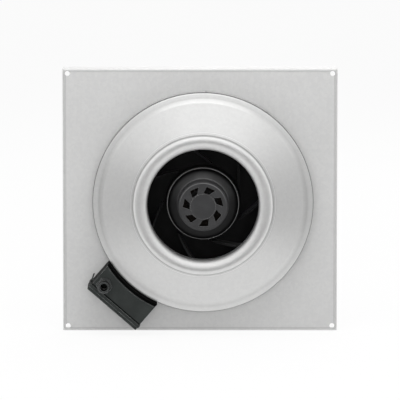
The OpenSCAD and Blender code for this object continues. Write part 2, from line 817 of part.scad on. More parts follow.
module terminal_box() color(dark) box_frame() difference() {
    union() {
        difference() {
            translate([box_root, -box_w / 2, box_gap]) cube([rim_x - box_root, box_w, box_depth]);
            difference() {
                translate([box_root, -box_w / 2 + box_wall, box_gap + box_wall])
                    cube([rim_x, box_w - 2 * box_wall, box_depth - 2 * box_wall]);
                box_saddle(box_wall);
            }
        }
        for (s = [-1, 1])
            along_x(box_root, s * box_screw_y, box_screw_z, box_boss_r, box_boss_x - box_root);
        translate([box_root, block_y - block_l / 2, block_z]) cube([pad_x - box_root, block_l, block_w]);
        along_x(box_root, earth_y, earth_z, earth_boss_r, pad_x - box_root);
        for (s = [-1, 1]) translate([stand_r, cap_y + s * cap_l / 4 - cap_rib_t / 2, cap_z - cap_r])
            cube([cap_x - stand_r, cap_rib_t, 2 * cap_r]);
        intersection() {
            translate([gland_x, gland_y, gland_boss_z])
                cylinder(r = gland_thread_r + gland_boss_wall, h = gland_boss_h - box_wall / 2);
            translate([box_root, -box_w / 2, 0]) cube([rim_x - box_root, box_w, box_front]);
        }
    }
    box_saddle(0);
    translate([0, 0, box_front - box_bevel])
        cylinder(r1 = stand_r, r2 = stand_r + 2 * box_bevel, h = 2 * box_bevel);
    box_screw_holes();
    rotate([0, 0, lead_turn]) along_x(box_root, 0, lead_z, grommet_r + seat, box_h);
    translate([0, cap_y - cap_l / 2 - fit, 0]) rotate([-90, 0, 0])
        translate([cap_x, -cap_z, 0]) cylinder(r = cap_r + fit, h = cap_l + 2 * fit);
    translate([gland_x, gland_y, gland_boss_z - over])
        cylinder(r = gland_thread_r + fit, h = box_front);
    along_x(pad_x - earth_l, earth_y, earth_z, earth_d / 2 + screw_gap, earth_l + over);
}

// Foam strip in the gap between the box and the casing's skirt
module box_seal() color(rubber) box_frame() intersection() {
    translate([0, 0, saddle_top + run])
        ring(stand_r - run, skirt_out_r + fit, box_front - foam_set - saddle_top);
    translate([0, -box_w / 2, 0]) cube([2 * stand_r, box_w, box_front]);
}

module box_screws() color(alloy) box_frame() for (s = [-1, 1])
    translate([box_boss_x, s * box_screw_y, box_screw_z]) rotate([0, 90, 0])
        pan_screw(box_screw_d, box_screw_l);

module terminal_block() color(cream) box_frame() difference() {
    translate([pad_x, block_y - block_l / 2, block_z]) union() {
        cube([block_base_h, block_l, block_w]);
        translate([0, 0, (block_w - block_ridge_w) / 2]) cube([block_h, block_l, block_ridge_w]);
    }
    for (i = [0 : pole_count - 1]) {
        for (z = [block_z - over, block_z + block_w - wire_depth])
            translate([pad_x + wire_rise, pole_y(i), z]) cylinder(d = wire_d, h = wire_depth + over);
        for (s = [-1, 1])
            along_x(pad_x + pole_rise, pole_y(i), earth_z + s * pole_spread, pole_r + screw_gap, block_h);
    }
}

// Place of a pole along the terminal block
function pole_y(i) = block_y + (i - (pole_count - 1) / 2) * pole_pitch;

module terminal_screws() color(brass) box_frame() for (i = [0 : pole_count - 1], s = [-1, 1])
    translate([pad_x + pole_rise, pole_y(i), earth_z + s * pole_spread]) rotate([0, 90, 0])
        difference() {
            cylinder(r = pole_r, h = pole_len);
            translate([0, 0, pole_len])
                cube([2 * pole_r + over, pole_slot_w, pole_slot_h], center = true);
        }

module run_capacitor() color(cream) box_frame() translate([cap_x, cap_y - cap_l / 2, cap_z])
    rotate([-90, 0, 0]) {
        translate([0, 0, cap_rim_h]) cylinder(r = cap_r, h = cap_l - cap_rim_h);
        cylinder(r1 = cap_r - cap_rim, r2 = cap_r, h = cap_rim_h);
        translate([0, 0, cap_l]) cylinder(r = cap_stud_r, h = cap_stud_h);
    }

module earth_screw() color(brass) box_frame()
    translate([pad_x, earth_y, earth_z]) rotate([0, 90, 0]) {
        cylinder(r = earth_washer_r, h = earth_washer_t);
        translate([0, 0, earth_washer_t]) pan_screw(earth_d, earth_l);
    }

// Cable gland
module gland_frame() {
    box_frame() translate([gland_x, gland_y, 0]) children();
}

module gland_body() color(dark) gland_frame() difference() {
    union() {
        translate([0, 0, gland_boss_z]) cylinder(r = gland_thread_r, h = gland_boss_h + over);
        translate([0, 0, box_front]) cylinder(d = gland_flats / cos(180 / hex), h = gland_hex_h, $fn = hex);
        translate([0, 0, box_front + over]) cylinder(r = gland_neck_r, h = gland_neck_h);
    }
    translate([0, 0, gland_boss_z - over]) cylinder(d = gland_mouth_d, h = gland_boss_h + 2 * gland_neck_h);
    translate([0, 0, box_front + gland_hex_h]) cylinder(r = gland_seal_r + fit, h = gland_neck_h);
}

module gland_seal() color(rubber) gland_frame()
    translate([0, 0, box_front + gland_hex_h]) ring(gland_seal_r, gland_bore_d / 2, gland_seal_h);

module gland_nut() color(dark) gland_frame() difference() {
    flat_r = gland_flats / 2 - gland_step;
    union() {
        translate([0, 0, gland_nut_z]) cylinder(r = flat_r / cos(180 / hex), h = gland_grip_h, $fn = hex);
        translate([0, 0, gland_nut_z + gland_grip_h])
            cylinder(r1 = flat_r - fit, r2 = gland_mouth_d / 2 + gland_rim, h = gland_nut_h - gland_grip_h);
    }
    translate([0, 0, gland_nut_z - over])
        cylinder(r = gland_neck_r + fit, h = gland_nut_h - gland_nut_end + over);
    translate([0, 0, gland_nut_z]) cylinder(d = gland_mouth_d, h = 2 * gland_nut_h);
}

// Rotor
module rotor_bell() color(black) fan_frame() {
    difference() {
        union() {
            spun_sheet([[rotor_r, rotor_rear_z], [rotor_r, shoulder_z - shoulder_drop],
                [drum_r, shoulder_z], [face_r, face_z - rotor_t / 2], [0, face_z - rotor_t / 2]],
                [shoulder_bend, face_root_bend, face_bend], rotor_t, lip_steps);
            translate([0, 0, face_z - rotor_t / 2]) cylinder(r = face_cap_r, h = rotor_t / 2 + face_cap_h);
            translate([0, 0, boss_z]) cylinder(r = boss_r, h = face_z - rotor_t / 2 - boss_z);
        }
        translate([0, 0, boss_z - over]) cylinder(r = shaft_r + press, h = shaft_top - boss_z + over);
        around(vent_count, vent_turn) translate([0, 0, face_z - 2 * rotor_t])
            linear_extrude(3 * rotor_t) polygon([
                polar(vent_in_r, -vent_angle / 2), polar(vent_out_r, vent_skew - vent_angle / 2),
                polar(vent_out_r, vent_skew + vent_angle / 2), polar(vent_in_r, vent_angle / 2)]);
    }
}

module rotor_core() color(dark) fan_frame() {
    core_r = rotor_d / 2 - rotor_t - press;
    translate([0, 0, stack_z - cage_h])
        ring(core_r, stator_d / 2 + air_gap, stack_h + 2 * cage_h);
}

module motor_shaft() color(bright) fan_frame() difference() {
    translate([0, 0, shaft_rear]) cylinder(r = shaft_r, h = shaft_top - shaft_rear);
    translate([0, 0, circlip_z - run]) ring(shaft_r + over, shaft_r - groove_depth, circlip_t + 2 * run);
}

module shaft_circlip() color(alloy) fan_frame() translate([0, 0, circlip_z]) difference() {
    mouth = shaft_r * circlip_mouth;
    ring(shaft_r + circlip_w, shaft_r - groove_depth + press, circlip_t);
    translate([0, -mouth / 2, -over]) cube([2 * shaft_r, mouth, circlip_t + 2 * over]);
}

module preload_washer() color(alloy) fan_frame() translate([0, 0, tube_top + run])
    ring(shaft_r + washer_w, shaft_r + press, washer_t);

// Fan wheel: back disc, hub sleeve and blades moulded in one
module fan_wheel() color(black) fan_frame() {
    spun_sheet([[hub_r, hub_top], [hub_r, disc_z], [blade_out_r, disc_z]], [hub_bend], wheel_t);
    around(blade_count, blade_turn + blade_mid_angle) intersection() {
        blade_wall();
        rotate_extrude() polygon(blade_section());
    }
}

// A blade's side view, from the back disc up to the shroud, with a sloping inlet edge
function blade_section() =
    let (line = sheet_line(shroud_points, [eye_bend], bend_steps), last = len(line) - 1)
    let (way = unit(shroud_points[2] - shroud_points[1]), gap = wheel_t / 2 + weld_gap)
    concat(
        [[blade_out_r + over, disc_z], [blade_in_r - over, disc_z],
            [blade_in_r - over, disc_z + blade_in_h - over]],
        [for (i = [bend_steps : last]) line[i][0] - line[i][1] * gap],
        [line[last][0] - line[last][1] * gap + way * over]);

// One blade: an arc of constant radius between the inner circle and the wheel's rim
module blade_wall() {
    linear_extrude(eye_top) intersection() {
        difference() {
            translate([blade_centre, 0]) circle(r = blade_r + blade_t / 2);
            translate([blade_centre, 0]) circle(r = blade_r - blade_t / 2);
        }
        difference() {
            circle(r = blade_out_r - tip_inset);
            circle(r = blade_in_r);
        }
        translate([-wheel_d, -wheel_d]) square([2 * wheel_d, wheel_d]);
    }
}

module wheel_shroud() color(black) fan_frame() spun_sheet(shroud_points, [eye_bend], wheel_t);

module wheel_retainer() color(alloy) fan_frame() translate([0, 0, hub_top + run])
    ring(rotor_d / 2 + retainer_w, rotor_d / 2 + press, retainer_t);

// Lid
module lid_section(a, b) {
    mid = lid_h / 2;
    polygon([[lid_x, a], [lid_x + mid, a], [lid_x + mid, a + lid_inset],
        [lid_top - lid_bevel, a + lid_inset], [lid_top, a + lid_inset + lid_bevel],
        [lid_top, b - lid_inset - lid_bevel], [lid_top - lid_bevel, b - lid_inset],
        [lid_x + mid, b - lid_inset], [lid_x + mid, b], [lid_x, b]]);
}

module box_lid() color(dark) box_frame() {
    end = box_w / 2 + lid_over;
    difference() {
        intersection() {
            linear_extrude(box_front) lid_section(-end, end);
            translate([0, end, 0]) rotate([90, 0, 0]) linear_extrude(2 * end)
                lid_section(lid_back, lid_front);
        }
        translate([lid_x - over, -box_w / 2 + lid_wall, box_gap + lid_wall])
            cube([lid_h + over - lid_wall, box_w - 2 * lid_wall, lid_front - box_gap - 2 * lid_wall]);
    }
    translate([lid_x + over, -end, box_gap + (box_depth - latch_w) / 2]) rotate([0, 0, 180 + latch_angle])
        translate([-over, -latch_t, 0]) cube([latch_len + over, latch_t, latch_w]);
}

module lid_seal() color(rubber) box_frame() difference() {
    translate([rim_x + run, -box_w / 2 + seal_inset, box_gap + seal_inset])
        cube([seal_t, box_w - 2 * seal_inset, box_depth - 2 * seal_inset]);
    translate([rim_x, -box_w / 2 + box_wall, box_gap + box_wall])
        cube([2 * seal_t, box_w - 2 * box_wall, box_depth - 2 * box_wall]);
}

wall_plate();
casing_ring();
casing_front();
inlet_nozzle();
outlet_pan();
pan_rivets();
motor_bracket();
bracket_screws();
motor_flange();
motor_screws();
stator_core();
stator_winding();
front_bearing();
rear_bearing();
motor_lead();
lead_grommet();
lead_tie();
terminal_box();
box_seal();
box_screws();
terminal_block();
terminal_screws();
run_capacitor();
earth_screw();
gland_body();
gland_seal();
gland_nut();
rotor_bell();
rotor_core();
motor_shaft();
shaft_circlip();
preload_washer();
fan_wheel();
wheel_shroud();
wheel_retainer();
box_lid();
lid_seal();
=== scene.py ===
"""Looks of a wall-mounted duct fan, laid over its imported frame. Metres, with the fan's axis along Y."""

import json
import logging
import math
from collections.abc import Callable, Mapping
from dataclasses import dataclass
from enum import Enum
from typing import Any

import bpy
from bpy.types import Material, Node, NodeSocket, NodeTree, Object
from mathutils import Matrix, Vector


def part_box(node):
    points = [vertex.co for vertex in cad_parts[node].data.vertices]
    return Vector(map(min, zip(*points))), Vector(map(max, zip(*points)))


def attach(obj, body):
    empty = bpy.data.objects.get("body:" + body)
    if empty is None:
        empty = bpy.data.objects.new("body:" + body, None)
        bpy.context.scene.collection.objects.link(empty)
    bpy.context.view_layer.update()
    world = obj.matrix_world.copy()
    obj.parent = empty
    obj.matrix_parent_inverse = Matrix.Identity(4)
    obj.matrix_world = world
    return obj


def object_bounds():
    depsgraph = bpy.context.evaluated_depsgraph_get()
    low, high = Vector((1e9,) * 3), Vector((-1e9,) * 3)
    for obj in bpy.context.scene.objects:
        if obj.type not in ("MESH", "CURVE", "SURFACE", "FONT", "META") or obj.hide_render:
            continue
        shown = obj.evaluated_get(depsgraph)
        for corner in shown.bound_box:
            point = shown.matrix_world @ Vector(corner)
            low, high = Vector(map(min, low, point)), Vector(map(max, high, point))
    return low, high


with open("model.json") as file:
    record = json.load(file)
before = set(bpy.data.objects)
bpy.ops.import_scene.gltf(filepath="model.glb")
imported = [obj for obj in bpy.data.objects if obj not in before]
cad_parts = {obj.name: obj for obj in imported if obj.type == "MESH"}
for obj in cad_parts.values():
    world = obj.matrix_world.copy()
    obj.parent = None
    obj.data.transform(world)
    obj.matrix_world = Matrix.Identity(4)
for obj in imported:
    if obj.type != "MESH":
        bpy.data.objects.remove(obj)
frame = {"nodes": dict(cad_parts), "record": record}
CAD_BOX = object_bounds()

LOG = logging.getLogger("duct_fan")
MM = 0.001
PHOTO_PIXELS = 400
VALUE_SOCKET = "NodeSocketFloat"

Colour = tuple[float, float, float]
Rgba = tuple[float, float, float, float]
Place = tuple[float, float, float]
Span = tuple[float, float]
Sockets = Mapping[str | int, NodeSocket]

WHITE: Colour = (1.0, 1.0, 1.0)
DUST: Colour = (0.40, 0.40, 0.39)
# Noise textures seldom leave the wide span; the narrow one gives patches with clearer edges.
NOISE_WIDE: Span = (0.3, 0.7)
NOISE_NARROW: Span = (0.35, 0.65)


class Slot(str, Enum):
    """Material slots of the record."""

    PLATE_STEEL = "plate_steel"
    SPUN_STEEL = "spun_steel"
    WHEEL_PLASTIC = "wheel_plastic"
    ROTOR_PAINT = "rotor_paint"
    BOX_PLASTIC = "box_plastic"
    GLAND_PLASTIC = "gland_plastic"
    ZINC_FASTENER = "zinc_fastener"
    DARK_STEEL = "dark_steel"
    GROUND_STEEL = "ground_steel"
    CAST_ALLOY = "cast_alloy"
    CORE_IRON = "core_iron"
    WINDING_COPPER = "winding_copper"
    SOFT_RUBBER = "soft_rubber"
    LEAD_SHEATH = "lead_sheath"
    TERMINAL_NYLON = "terminal_nylon"
    CAPACITOR_CASE = "capacitor_case"
    TERMINAL_BRASS = "terminal_brass"


def rgba(colour: Colour) -> Rgba:
    """Give a colour full opacity."""
    return (*colour, 1.0)


class Wiring:
    """Adds nodes to one tree and links them by socket name."""

    def __init__(self, tree: NodeTree) -> None:
        """Keep the tree that is wired."""
        self.tree = tree

    def add(self, kind: str, inputs: dict[str | int, Any] | None = None, **settings: Any) -> Node:
        """Add a node.

        Args:
            kind: Blender's name of the node type.
            inputs: For each input, the socket to link or the value to set.
            settings: Properties of the node itself.

        Returns:
            The new node.
        """
        node = self.tree.nodes.new(kind)
        for name, value in settings.items():
            setattr(node, name, value)
        for name, value in (inputs or {}).items():
            self.feed(node.inputs[name], value)
        return node

    def feed(self, socket: NodeSocket, value: Any) -> None:
        """Link a socket to another one, or set its value.

        Args:
            socket: The input.
            value: An output socket or a plain value.
        """
        if isinstance(value, NodeSocket):
            self.tree.links.new(value, socket)
        else:
            socket.default_value = value

    def math(self, operation: str, a: Any, b: Any = 0.0) -> NodeSocket:
        """Work out one sum of values or sockets, by Blender's name of the operation."""
        return self.add("ShaderNodeMath", {0: a, 1: b}, operation=operation).outputs[0]

    def vector(self, operation: str, a: Any, b: Any) -> Sockets:
        """Work out one sum of vectors; the results are Vector and Value."""
        return self.add("ShaderNodeVectorMath", {0: a, 1: b}, operation=operation).outputs

    def span(self, value: NodeSocket, low: Any, high: Any,
             to_low: float = 0.0, to_high: float = 1.0) -> NodeSocket:
        """Map a range of values to another one and clamp it."""
        ranges = {"From Min": low, "From Max": high, "To Min": to_low, "To Max": to_high}
        return self.add("ShaderNodeMapRange", {"Value": value, **ranges}).outputs[0]

    def mix(self, factor: Any, a: Any, b: Any) -> NodeSocket:
        """Mix two colours by the share of the second one."""
        # The Mix node has sockets for each kind of data; these are the ones for colours.
        return self.add("ShaderNodeMix", {0: factor, 6: a, 7: b}, data_type="RGBA").outputs[2]

    def place(self) -> NodeSocket:
        """Give the place on the object, in metres."""
        return self.add("ShaderNodeTexCoord").outputs["Object"]

    def normal(self) -> NodeSocket:
        """Give the way that the surface looks."""
        return self.add("ShaderNodeNewGeometry").outputs["Normal"]

    def split(self, vector: NodeSocket) -> Sockets:
        """Give a vector's X, Y and Z."""
        return self.add("ShaderNodeSeparateXYZ", {0: vector}).outputs

    def noise(self, place: NodeSocket, scale: Any, detail: float) -> NodeSocket:
        """Add noise with a number of clouds per metre and of finer layers."""
        return self.add("ShaderNodeTexNoise", {"Vector": place, "Scale": scale, "Detail": detail}).outputs[0]

    def group(self, tree: NodeTree, **values: Any) -> Sockets:
        """Place a shared effect with its own values and give its outputs."""
        return self.add("ShaderNodeGroup", values, node_tree=tree).outputs

    def mask(self, tree: NodeTree, **values: Any) -> NodeSocket:
        """Place a shared effect with its own values and give its mask."""
        return self.group(tree, **values)["Mask"]

    def highest(self, first: NodeSocket, *others: NodeSocket) -> NodeSocket:
        """Give the highest of several values.

        Args:
            first: One value.
            others: The values to compare with it.

        Returns:
            The highest value.
        """
        for other in others:
            first = self.math("MAXIMUM", first, other)
        return first


class SurfaceEffects:
    """Surface effects that several finishes share, each a node group that is built once."""

    WARP_CLOUDS = 90.0
    WARP_REACH = 0.006
    STREAK_PULL = (1.0, 1.0, 0.02)
    CRYSTAL_TONE = 0.55
    STREAK_TONE = 0.45
    CRYSTAL_HEIGHT = 0.3
    EDGE_SAMPLES = 4
    EDGE_TURN: Span = (0.97, 0.80)
    EDGE_PATCHES = 160.0
    EDGE_LEAST = 0.3
    DUST_AND_SHEEN_CLOUDS = 35.0
    DUST_AND_SHEEN_LEAST = 0.4
    # Samples and openness of the painted shade in seams.
    SEAM_SHADE_SAMPLES = 6
    SEAM_SHADE_OPENNESS: Span = (0.80, 0.35)

    def __init__(self, axis_x: float, box_turn: float, plate_half: Span) -> None:
        """Build the groups.

        Args:
            axis_x: Place of the fan's axis along X.
            box_turn: Angle of the terminal box round that axis, in radians.
            plate_half: Half of the wall plate's width and height.
        """
        self.axis_x = axis_x
        self.box_turn = box_turn
        self.plate_half = plate_half
        self.spangle = self._spangle()
        self.spun_rings = self._spun_rings()
        self.moulded_grain = self._moulded_grain()
        self.edge_wear_and_highlight = self._edge_wear_and_highlight()
        self.dust_and_sheen = self._dust_and_sheen()
        self.handling = self._handling()
        self.wall_shading_mask = self._wall_shading_mask()
        self.seam_shade = self._seam_shade()
        self.ring_line = self._ring_line()
        self.lid_line = self._lid_line()
        self.fold_line = self._fold_line()

    @staticmethod
    def _open(name: str, inputs: dict[str, float], *outputs: str) -> tuple[Wiring, Sockets, Sockets]:
        """Start a group.

        Args:
            name: The group's name.
            inputs: Its inputs and their usual values.
            outputs: Its outputs.

        Returns:
            The wiring, the sockets that bring the inputs and those that take the outputs.
        """
        tree = bpy.data.node_groups.new(name, "ShaderNodeTree")
        for label, value in inputs.items():
            socket = tree.interface.new_socket(name=label, in_out="INPUT", socket_type=VALUE_SOCKET)
            socket.default_value = value
        for label in outputs:
            tree.interface.new_socket(name=label, in_out="OUTPUT", socket_type=VALUE_SOCKET)
        wiring = Wiring(tree)
        return wiring, wiring.add("NodeGroupInput").outputs, wiring.add("NodeGroupOutput").inputs

    def _reach(self, w: Wiring) -> NodeSocket:
        """Give the distance from the fan's axis.

        Args:
            w: The wiring of the effect that needs it.

        Returns:
            The distance in metres.
        """
        at = w.split(w.place())
        across = w.math("SUBTRACT", at["X"], self.axis_x)
        return w.math("SQRT", w.math("ADD", w.math("POWER", across, 2.0), w.math("POWER", at["Z"], 2.0)))

    @staticmethod
    def _line(w: Wiring, given: Sockets, off: NodeSocket) -> NodeSocket:
        """Draw a soft line of the group's Width and Amount where the distance from it is small."""
        near = w.span(w.math("ABSOLUTE", off), 0.0, given["Width"], 1.0, 0.0)
        return w.math("MULTIPLY", near, given["Amount"])

    def _spangle(self) -> NodeTree:
        """Build the zinc crystals and rolling streaks of galvanised sheet.

        Returns:
            The node group.
        """
        w, given, out = self._open("zinc_spangle", {"Crystals": 260.0, "Streaks": 900.0}, "Tone", "Height")
        place = w.place()
        warp = w.add("ShaderNodeTexNoise", {"Vector": place, "Scale": self.WARP_CLOUDS, "Detail": 2.0})
        moved = w.add("ShaderNodeVectorMath", {0: warp.outputs["Color"], "Scale": self.WARP_REACH},
                      operation="SCALE")
        bent = w.vector("ADD", place, moved.outputs[0])["Vector"]
        cells = w.add("ShaderNodeTexVoronoi", {"Vector": bent, "Scale": given["Crystals"]})
        crystal = w.add("ShaderNodeSeparateColor", {0: cells.outputs["Color"]}).outputs[0]
        pulled = w.add("ShaderNodeMapping", {"Vector": place, "Scale": self.STREAK_PULL}).outputs[0]
        streak = w.noise(pulled, given["Streaks"], detail=2.0)
        w.feed(out["Tone"], w.math("ADD", w.math("MULTIPLY", crystal, self.CRYSTAL_TONE),
                                   w.math("MULTIPLY", streak, self.STREAK_TONE)))
        w.feed(out["Height"], w.math("ADD", w.math("MULTIPLY", crystal, self.CRYSTAL_HEIGHT), streak))
        return w.tree

    def _spun_rings(self) -> NodeTree:
        """Build the fine rings that the spinning roller leaves round the fan's axis.

        Returns:
            The node group.
        """
        w, given, out = self._open("spun_rings", {"Rings": 1500.0}, "Tone", "Height")
        along = w.math("ADD", self._reach(w), w.split(w.place())["Y"])
        rings = w.add("ShaderNodeTexNoise", {"W": along, "Scale": given["Rings"], "Detail": 3.0},
                      noise_dimensions="1D").outputs[0]
        w.feed(out["Tone"], rings)
        w.feed(out["Height"], rings)
        return w.tree

    def _moulded_grain(self) -> NodeTree:
        """Build the fine spark-eroded grain of moulded plastic and the flow marks under it.

        Returns:
            The node group.
        """
        w, given, out = self._open("moulded_grain", {"Grain": 2600.0, "Flow": 60.0}, "Tone", "Height")
        place = w.place()
        w.feed(out["Height"], w.noise(place, given["Grain"], detail=4.0))
        w.feed(out["Tone"], w.noise(place, given["Flow"], detail=5.0))
        return w.tree

    def _edge_wear_and_highlight(self) -> NodeTree:
        """Build the edges, found where a rounded normal leaves the true one: rubbed on some finishes, painted
        highlights on others.

        Returns:
            The node group.
        """
        w, given, out = self._open("edge_wear_and_highlight", {"Radius": 0.0008, "Amount": 1.0}, "Mask")
        rounded = w.add("ShaderNodeBevel", {"Radius": given["Radius"]}, samples=self.EDGE_SAMPLES).outputs[0]
        worn_and_painted_colour = w.span(w.vector("DOT_PRODUCT", rounded, w.normal())["Value"], *self.EDGE_TURN)
        patchy = w.span(w.noise(w.place(), self.EDGE_PATCHES, detail=4.0), *NOISE_NARROW, self.EDGE_LEAST)
        w.feed(out["Mask"], w.math("MULTIPLY", w.math("MULTIPLY", worn_and_painted_colour, patchy), given["Amount"]))
        return w.tree

    def _dust_and_sheen(self) -> NodeTree:
        """Build a mask on faces that look up: thin dust on most finishes, a painted sheen of top light on the
        rotor.

        Returns:
            The node group.
        """
        w, given, out = self._open("dust_and_sheen", {"Amount": 0.2, "Steep": 0.2, "Level": 1.0}, "Mask")
        up = w.span(w.split(w.normal())["Z"], given["Steep"], given["Level"])
        cloud = w.span(w.noise(w.place(), self.DUST_AND_SHEEN_CLOUDS, detail=5.0), *NOISE_WIDE, self.DUST_AND_SHEEN_LEAST)
        w.feed(out["Mask"], w.math("MULTIPLY", w.math("MULTIPLY", up, cloud), given["Amount"]))
        return w.tree

    def _handling(self) -> NodeTree:
        """Build the broad clouds of handling that change gloss.

        Returns:
            The node group.
        """
        w, given, out = self._open("handling", {"Clouds": 14.0}, "Tone")
        w.feed(out["Tone"], w.span(w.noise(w.place(), given["Clouds"], detail=5.0), *NOISE_WIDE))
        return w.tree

    def _wall_shading_mask(self) -> NodeTree:
        """Build the walls that run along the fan's axis, apart from faces that look along it: finishes paint
        shade there, the fan wheel paints light.

        Returns:
            The node group. Its Outer holds only what lies further from the axis than Inner.
        """
        usual = {"Amount": 0.5, "Flat": 0.72, "Steep": 0.30, "Inner": 0.0, "Fade": 0.004}
        w, given, out = self._open("wall_shading_mask", usual, "Mask", "Outer")
        facing = w.math("ABSOLUTE", w.split(w.normal())["Y"])
        mask = w.math("MULTIPLY", w.span(facing, given["Flat"], given["Steep"]), given["Amount"])
        past = w.math("SUBTRACT", self._reach(w), given["Inner"])
        w.feed(out["Mask"], mask)
        w.feed(out["Outer"], w.math("MULTIPLY", mask, w.span(past, 0.0, given["Fade"])))
        return w.tree

    def _seam_shade(self) -> NodeTree:
        """Build painted shade where two pieces meet, from ambient occlusion.

        Returns:
            The node group.
        """
        w, given, out = self._open("seam_shade", {"Reach": 0.006, "Amount": 0.6}, "Mask")
        shelter = w.add("ShaderNodeAmbientOcclusion", {"Distance": given["Reach"]},
                        samples=self.SEAM_SHADE_SAMPLES)
        near = w.span(shelter.outputs["AO"], *self.SEAM_SHADE_OPENNESS)
        w.feed(out["Mask"], w.math("MULTIPLY", near, given["Amount"]))
        return w.tree

    def _ring_line(self) -> NodeTree:
        """Build one thin line round the fan's axis, for painted shade and painted highlight rings.

        Returns:
            The node group.
        """
        w, given, out = self._open("ring_line", {"Radius": 0.1, "Width": 0.001, "Amount": 1.0}, "Mask")
        w.feed(out["Mask"], self._line(w, given, w.math("SUBTRACT", self._reach(w), given["Radius"])))
        return w.tree

    def _lid_line(self) -> NodeTree:
        """Build the painted shade line along the terminal box where its lid meets it.

        Returns:
            The node group.
        """
        w, given, out = self._open("lid_line", {"Distance": 0.2, "Width": 0.001, "Amount": 1.0}, "Mask")
        way = (math.cos(self.box_turn), 0.0, math.sin(self.box_turn))
        from_axis = w.vector("SUBTRACT", w.place(), (self.axis_x, 0.0, 0.0))["Vector"]
        far = w.vector("DOT_PRODUCT", from_axis, way)["Value"]
        w.feed(out["Mask"], self._line(w, given, w.math("SUBTRACT", far, given["Distance"])))
        return w.tree

    def _fold_line(self) -> NodeTree:
        """Build the thin painted shade line round the wall plate where its folded edges begin.

        Returns:
            The node group.
        """
        w, given, out = self._open("fold_line", {"Inset": 0.004, "Width": 0.001, "Amount": 1.0}, "Mask")
        spot = w.split(w.place())
        past = [w.math("SUBTRACT", w.math("ABSOLUTE", spot[axis]), half)
                for axis, half in zip(("X", "Z"), self.plate_half)]
        w.feed(out["Mask"], self._line(w, given, w.math("ADD", w.highest(*past), given["Inset"])))
        return w.tree


@dataclass(frozen=True)
class Finish:
    """What every finish has: a colour, the shade that its texture brings in (on some finishes also painted
    shade or light), and how rough it is.
    """

    colour: Colour
    shade: Colour
    rough: Span
    metallic: float = 0.0
    dust: float = 0.04
    gloss: float = 0.5

    def build(self, name: str, effects: SurfaceEffects) -> Material:
        """Make the finish's material.

        Args:
            name: The material's name.
            effects: The shared effects.

        Returns:
            The material.
        """
        material = bpy.data.materials.new(name)
        material.use_nodes = True
        shader = material.node_tree.nodes["Principled BSDF"]
        shader.inputs["Metallic"].default_value = self.metallic
        shader.inputs["Specular IOR Level"].default_value = self.gloss
        self.wire(Wiring(material.node_tree), shader, effects)
        return material

    def wire(self, w: Wiring, shader: Node, effects: SurfaceEffects) -> None:
        """Wire the finish's own nodes."""
        raise NotImplementedError

    def surface(self, w: Wiring, shader: Node, effects: SurfaceEffects, tone: NodeSocket,
                worn_and_painted: NodeSocket | None = None, worn_and_painted_colour: NodeSocket | Rgba | None = None) -> None:
        """Feed colour and roughness: the texture's shade, then rubbed places, painted shade, painted
        highlights and lines, then dust.

        Args:
            w: The material's wiring.
            shader: Its shader.
            effects: The shared effects.
            tone: Where the colour turns to its shade.
            worn_and_painted: Where it is rubbed off, or where painted shade, a painted highlight or a line
                goes.
            worn_and_painted_colour: Colour of those places.
        """
        colour = w.mix(tone, rgba(self.colour), rgba(self.shade))
        if worn_and_painted is not None:
            colour = w.mix(worn_and_painted, colour, worn_and_painted_colour)
        lies = w.mask(effects.dust_and_sheen, Amount=self.dust)
        w.feed(shader.inputs["Base Color"], w.mix(lies, colour, rgba(DUST)))
        cloud = w.group(effects.handling)["Tone"]
        w.feed(shader.inputs["Roughness"], w.span(cloud, 0.0, 1.0, *self.rough))

    def relief(self, w: Wiring, shader: Node, height: NodeSocket, depth: float) -> None:
        """Feed a bump with its depth in metres."""
        bump = w.add("ShaderNodeBump", {"Height": height, "Distance": depth, "Strength": 1.0})
        w.feed(shader.inputs["Normal"], bump.outputs[0])


@dataclass(frozen=True)
class SheetSteel(Finish):
    """Galvanised sheet with a small spangle."""

    crystals: float = 260.0
    tones: Span = (0.25, 0.75)
    relief_depth: float = 0.00001
    # Colour of the painted shade on the folds.
    fold_shade_colour: Colour = (0.30, 0.30, 0.30)
    fold_inset: float = 0.0046
    fold_shading: float = 0.5
    # How far a face looks along the fan's axis where the bend begins, and where it turns into a side wall;
    # painted shade darkens the bend between them.
    bend_slopes: Span = (0.9995, 0.99)
    wall_slopes: Span = (0.93, 0.80)
    bend_shading: float = 0.4

    def wire(self, w: Wiring, shader: Node, effects: SurfaceEffects) -> None:
        """Wire crystals, painted shade on the line where each fold begins and on the bend, and a faint
        relief.

        Args:
            w: The material's wiring.
            shader: Its shader.
            effects: The shared effects.
        """
        zinc = w.group(effects.spangle, Crystals=self.crystals)
        # Painted shade: a dark line where each fold begins and a dark band where the bend leaves the face.
        line = w.mask(effects.fold_line, Inset=self.fold_inset, Amount=self.fold_shading)
        bent, wall = (w.mask(effects.wall_shading_mask, Amount=self.bend_shading, Flat=flat, Steep=steep)
                      for flat, steep in (self.bend_slopes, self.wall_slopes))
        fold = w.highest(line, w.math("SUBTRACT", bent, wall))
        self.surface(w, shader, effects, w.span(zinc["Tone"], *self.tones), fold, rgba(self.fold_shade_colour))
        self.relief(w, shader, zinc["Height"], self.relief_depth)


